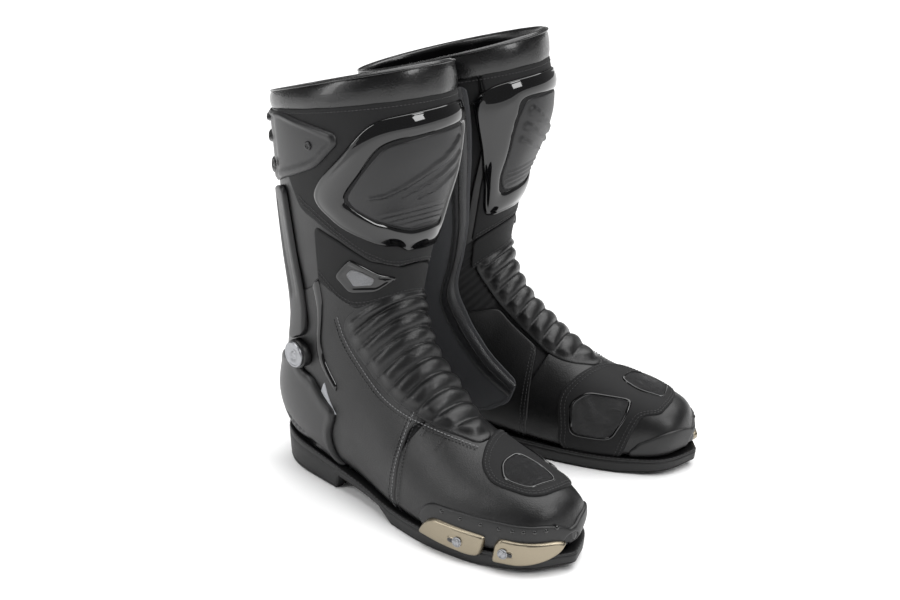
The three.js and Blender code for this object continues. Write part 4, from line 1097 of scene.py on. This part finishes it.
def zip_part(name, outline, profile, look, rides, stands_for):
    """A small plate on the zip: an outline in (along, across) millimetres, profile is (inset, height)."""
    shape = np.array(outline, float)
    middle = shape.mean(0)
    rings = []
    for shrink, height in profile:
        ring_at = middle + (shape - middle) * (1 - shrink)
        rings.append(ZIP_START + ring_at[:, :1] * ZIP_RUN + ring_at[:, 1:] * ZIP_ACROSS + height * ZIP_OUT)
    count = len(shape)
    faces = [(i * count + j, i * count + (j + 1) % count, (i + 1) * count + (j + 1) % count,
        (i + 1) * count + j)
             for i in range(len(profile) - 1) for j in range(count)]
    faces += [tuple(range(count))[::-1], tuple(range((len(profile) - 1) * count, len(profile) * count))]
    return piece(name, np.concatenate(rings), faces, look, rides, stands_for, smooth=False)


def oval(length, width, start, count=40):
    """A plate outline with a round far end and a narrower near end."""
    angles = np.linspace(-np.pi / 2, np.pi / 2, count // 2)
    end = [(start + length - width / 2 + math.cos(a) * width / 2, math.sin(a) * width / 2) for a in angles]
    return end + [(start, width * 0.32), (start, -width * 0.32)]


zip_part("zip slider", oval(11, 8.4, -5.5),
    [(0, 0), (0, 1.1), (0.12, 1.3), (0.12, 1.9), (0, 2.1), (0.04, 3.0), (0.2, 3.3)],
         NICKEL, "zip_slider_body", ("zip_slider",))
zip_part("zip puller", oval(18.6, 6, -0.6),
    [(0.06, 3.55), (0, 3.7), (0, 4.8), (0.08, 5.1), (0.3, 5.1), (0.34, 4.8)],
         NICKEL, "zip_puller_body", ("zip_puller",))

# %% [markdown]
# ## Sole: a cup sole with a welt, a heel block and cross grooves under it

# %% Sole
BOTTOM_STATIONS = [[-40, 0], [92, 0], [97, 13], [154, 9], [172, 0], [262, 0], [319, 6], [340, 6]]


def sole_bottom(x):
    stations = np.array(BOTTOM_STATIONS, float)
    return np.interp(x, *stations.T)


def rim_point(s, deg, out):
    way = normal(s, deg) * [1, 1, 0]
    return (last(s, deg) + way / np.linalg.norm(way) * (1.4 + out))[:2]


forefoot = [0.8, 1.4, 2.2, 3, 4, 5, 6, 7]
heel = [[8, 118], [8.4, 140], [8.5, 160], [8.5, 180], [8.5, 200], [8.4, 220], [8, 242]]
rim = [rim_point(0.1, 30, 2.6), rim_point(0.2, 90, 2.6), *[rim_point(s, 100, 2.6) for s in forefoot]]
rim += [rim_point(s, deg, 3.4) for s, deg in heel]
rim += [rim_point(s, -100, 2.6) for s in forefoot[::-1]] + [rim_point(0.2, -90, 2.6),
    rim_point(0.1, -30, 2.6)]
plan = resample(smooth_loop(np.array(rim) / [ROW_MM, DEG_MM], 600), 2.0)
ahead = np.roll(plan, -1, 0) - np.roll(plan, 1, 0)
inward = np.stack([-ahead[:, 1], ahead[:, 0]], -1) / np.linalg.norm(ahead, axis=1, keepdims=True)
if not inside(plan[:1] + inward[:1] * 2, plan)[0]:
    inward = -inward
top_z, low_z = sole_top(plan[:, 0]), sole_bottom(plan[:, 0])
sole_profile = [  # inward, share of the height
    (9, 0.9), (4.2, 0.95), (2.2, 1.0), (0.9, 1.0), (0.2, 0.965), (0, 0.92), (0, 0.84), (0.5, 0.815),
    (0.6, 0.79), (0.1, 0.765),
    (0.2, 0.6), (0.5, 0.4), (0.7, 0.22), (0.9, 0.16), (1.6, 0.13), (1.7, 0.1), (1.0, 0.07), (1.2, 0.03),
    (2.4, 0.0),
]
sole_points = [np.column_stack([plan + inward * step_in, low_z + (top_z - low_z) * share]) for step_in,
    share in sole_profile]
count = len(plan)
sole_faces = [
    (i * count + j, i * count + (j + 1) % count, (i + 1) * count + (j + 1) % count, (i + 1) * count + j)
    for i in range(len(sole_profile) - 1) for j in range(count)
]
base_loop = plan + inward * 2.4
span = np.stack(np.meshgrid(np.arange(-40, 345, 2.0), np.arange(-70, 70, 2.5), indexing="ij"),
    -1).reshape(-1, 2)
span = span[inside(span, base_loop)]
span = span[edge_distance(span, base_loop) > 1.8]
flat_verts, _, flat_faces, *_ = delaunay_2d_cdt([Vector(p) for p in np.vstack([base_loop, span])], [],
    [list(range(count))], 1, 1e-5)
under = np.array([tuple(v) for v in flat_verts])
deep = smoothstep(edge_distance(under, base_loop), 1, 4)
groove_phase = under[:, 0] * 2 * np.pi / 13 + 0.02 * under[:, 1] ** 2 / 4
groove = smoothstep(np.cos(groove_phase), 0.55, 0.9) * deep * 1.8
tread = np.column_stack([under, sole_bottom(under[:, 0]) + groove * (sole_bottom(under[:, 0]) < 3)])
offset = len(sole_profile) * count
all_points = np.vstack([*sole_points, tread])
sole_faces += [tuple(k + offset for k in face) for face in flat_faces]
piece("cup sole", all_points, sole_faces, RUBBER, "foot", ("outsole",))
welt = np.column_stack([plan + inward * 0.5, top_z + 0.15])
for side in SIDES:
    mesh = bpy.data.meshes.new("welt line")
    mesh.from_pydata([tuple(v) for v in placed(welt + [0, 0, -0.2], side)],
        [(k, (k + 1) % count) for k in range(count)], [])
    thing = bpy.data.objects.new(named(side, "welt stitches"), mesh)
    bpy.context.scene.collection.objects.link(thing)
    grown(thing, STITCHES, Pitch=0.0042, Length=0.0014, Radius=0.0004, Material=THREAD)
    attach(thing, side, "foot")

# %% [markdown]
# ## Studio: a white sweep, soft lights and a camera in front, looking a little down

# %% Studio
floor_look, *_ = material("white studio floor", "ffffff", 0.9)
floor_mesh = bpy.data.meshes.new("floor")
floor_mesh.from_pydata([(-12, -12, 0), (12, -12, 0), (12, 12, 0), (-12, 12, 0)], [], [(0, 1, 2, 3)])
floor_mesh.materials.append(floor_look)
floor = bpy.data.objects.new("floor", floor_mesh)
bpy.context.scene.collection.objects.link(floor)

world = bpy.data.worlds.new("studio")
bpy.context.scene.world = world
world.use_nodes = True
world.node_tree.nodes["Background"].inputs["Color"].default_value = (1, 1, 1, 1)
world.node_tree.nodes["Background"].inputs["Strength"].default_value = 0.22


def light(name, kind, at, toward, power, **shape):
    """A soft light aimed at a point; power is watts, or watts per square metre for a sun."""
    data = bpy.data.lights.new(name, kind)
    data.energy = power
    for key, value in shape.items():
        setattr(data, key, value)
    made_light = bpy.data.objects.new(name, data)
    aim = (Vector(toward) - Vector(at)).to_track_quat("-Z", "Y").to_matrix().to_4x4()
    made_light.matrix_world = Matrix.Translation(at) @ aim
    bpy.context.scene.collection.objects.link(made_light)


light("sky", "SUN", (0.3, 0.6, 2), (0, 0, 0), 3.6, angle=math.radians(70))
light("key light", "AREA", (1.0, -0.9, 1.3), (0, 0, 0.2), 13, shape="RECTANGLE", size=0.5, size_y=0.9)
light("left light", "AREA", (-1.3, -0.5, 0.9), (0, 0, 0.2), 9, shape="RECTANGLE", size=0.35, size_y=1.2)

bpy.context.scene.view_settings.view_transform = "Standard"
camera_data = bpy.data.cameras.new("camera")
camera_data.lens, camera_data.sensor_width = 58.2, 36
camera = bpy.data.objects.new("camera", camera_data)
camera.location = (-0.03455, -1.14975, 0.594)
camera.rotation_euler = (math.radians(90 - 20.7), 0, 0)
bpy.context.scene.collection.objects.link(camera)
bpy.context.scene.camera = camera

# %% Finish
for helper in (dome, screw, cap_screw):
    bpy.data.objects.remove(helper)
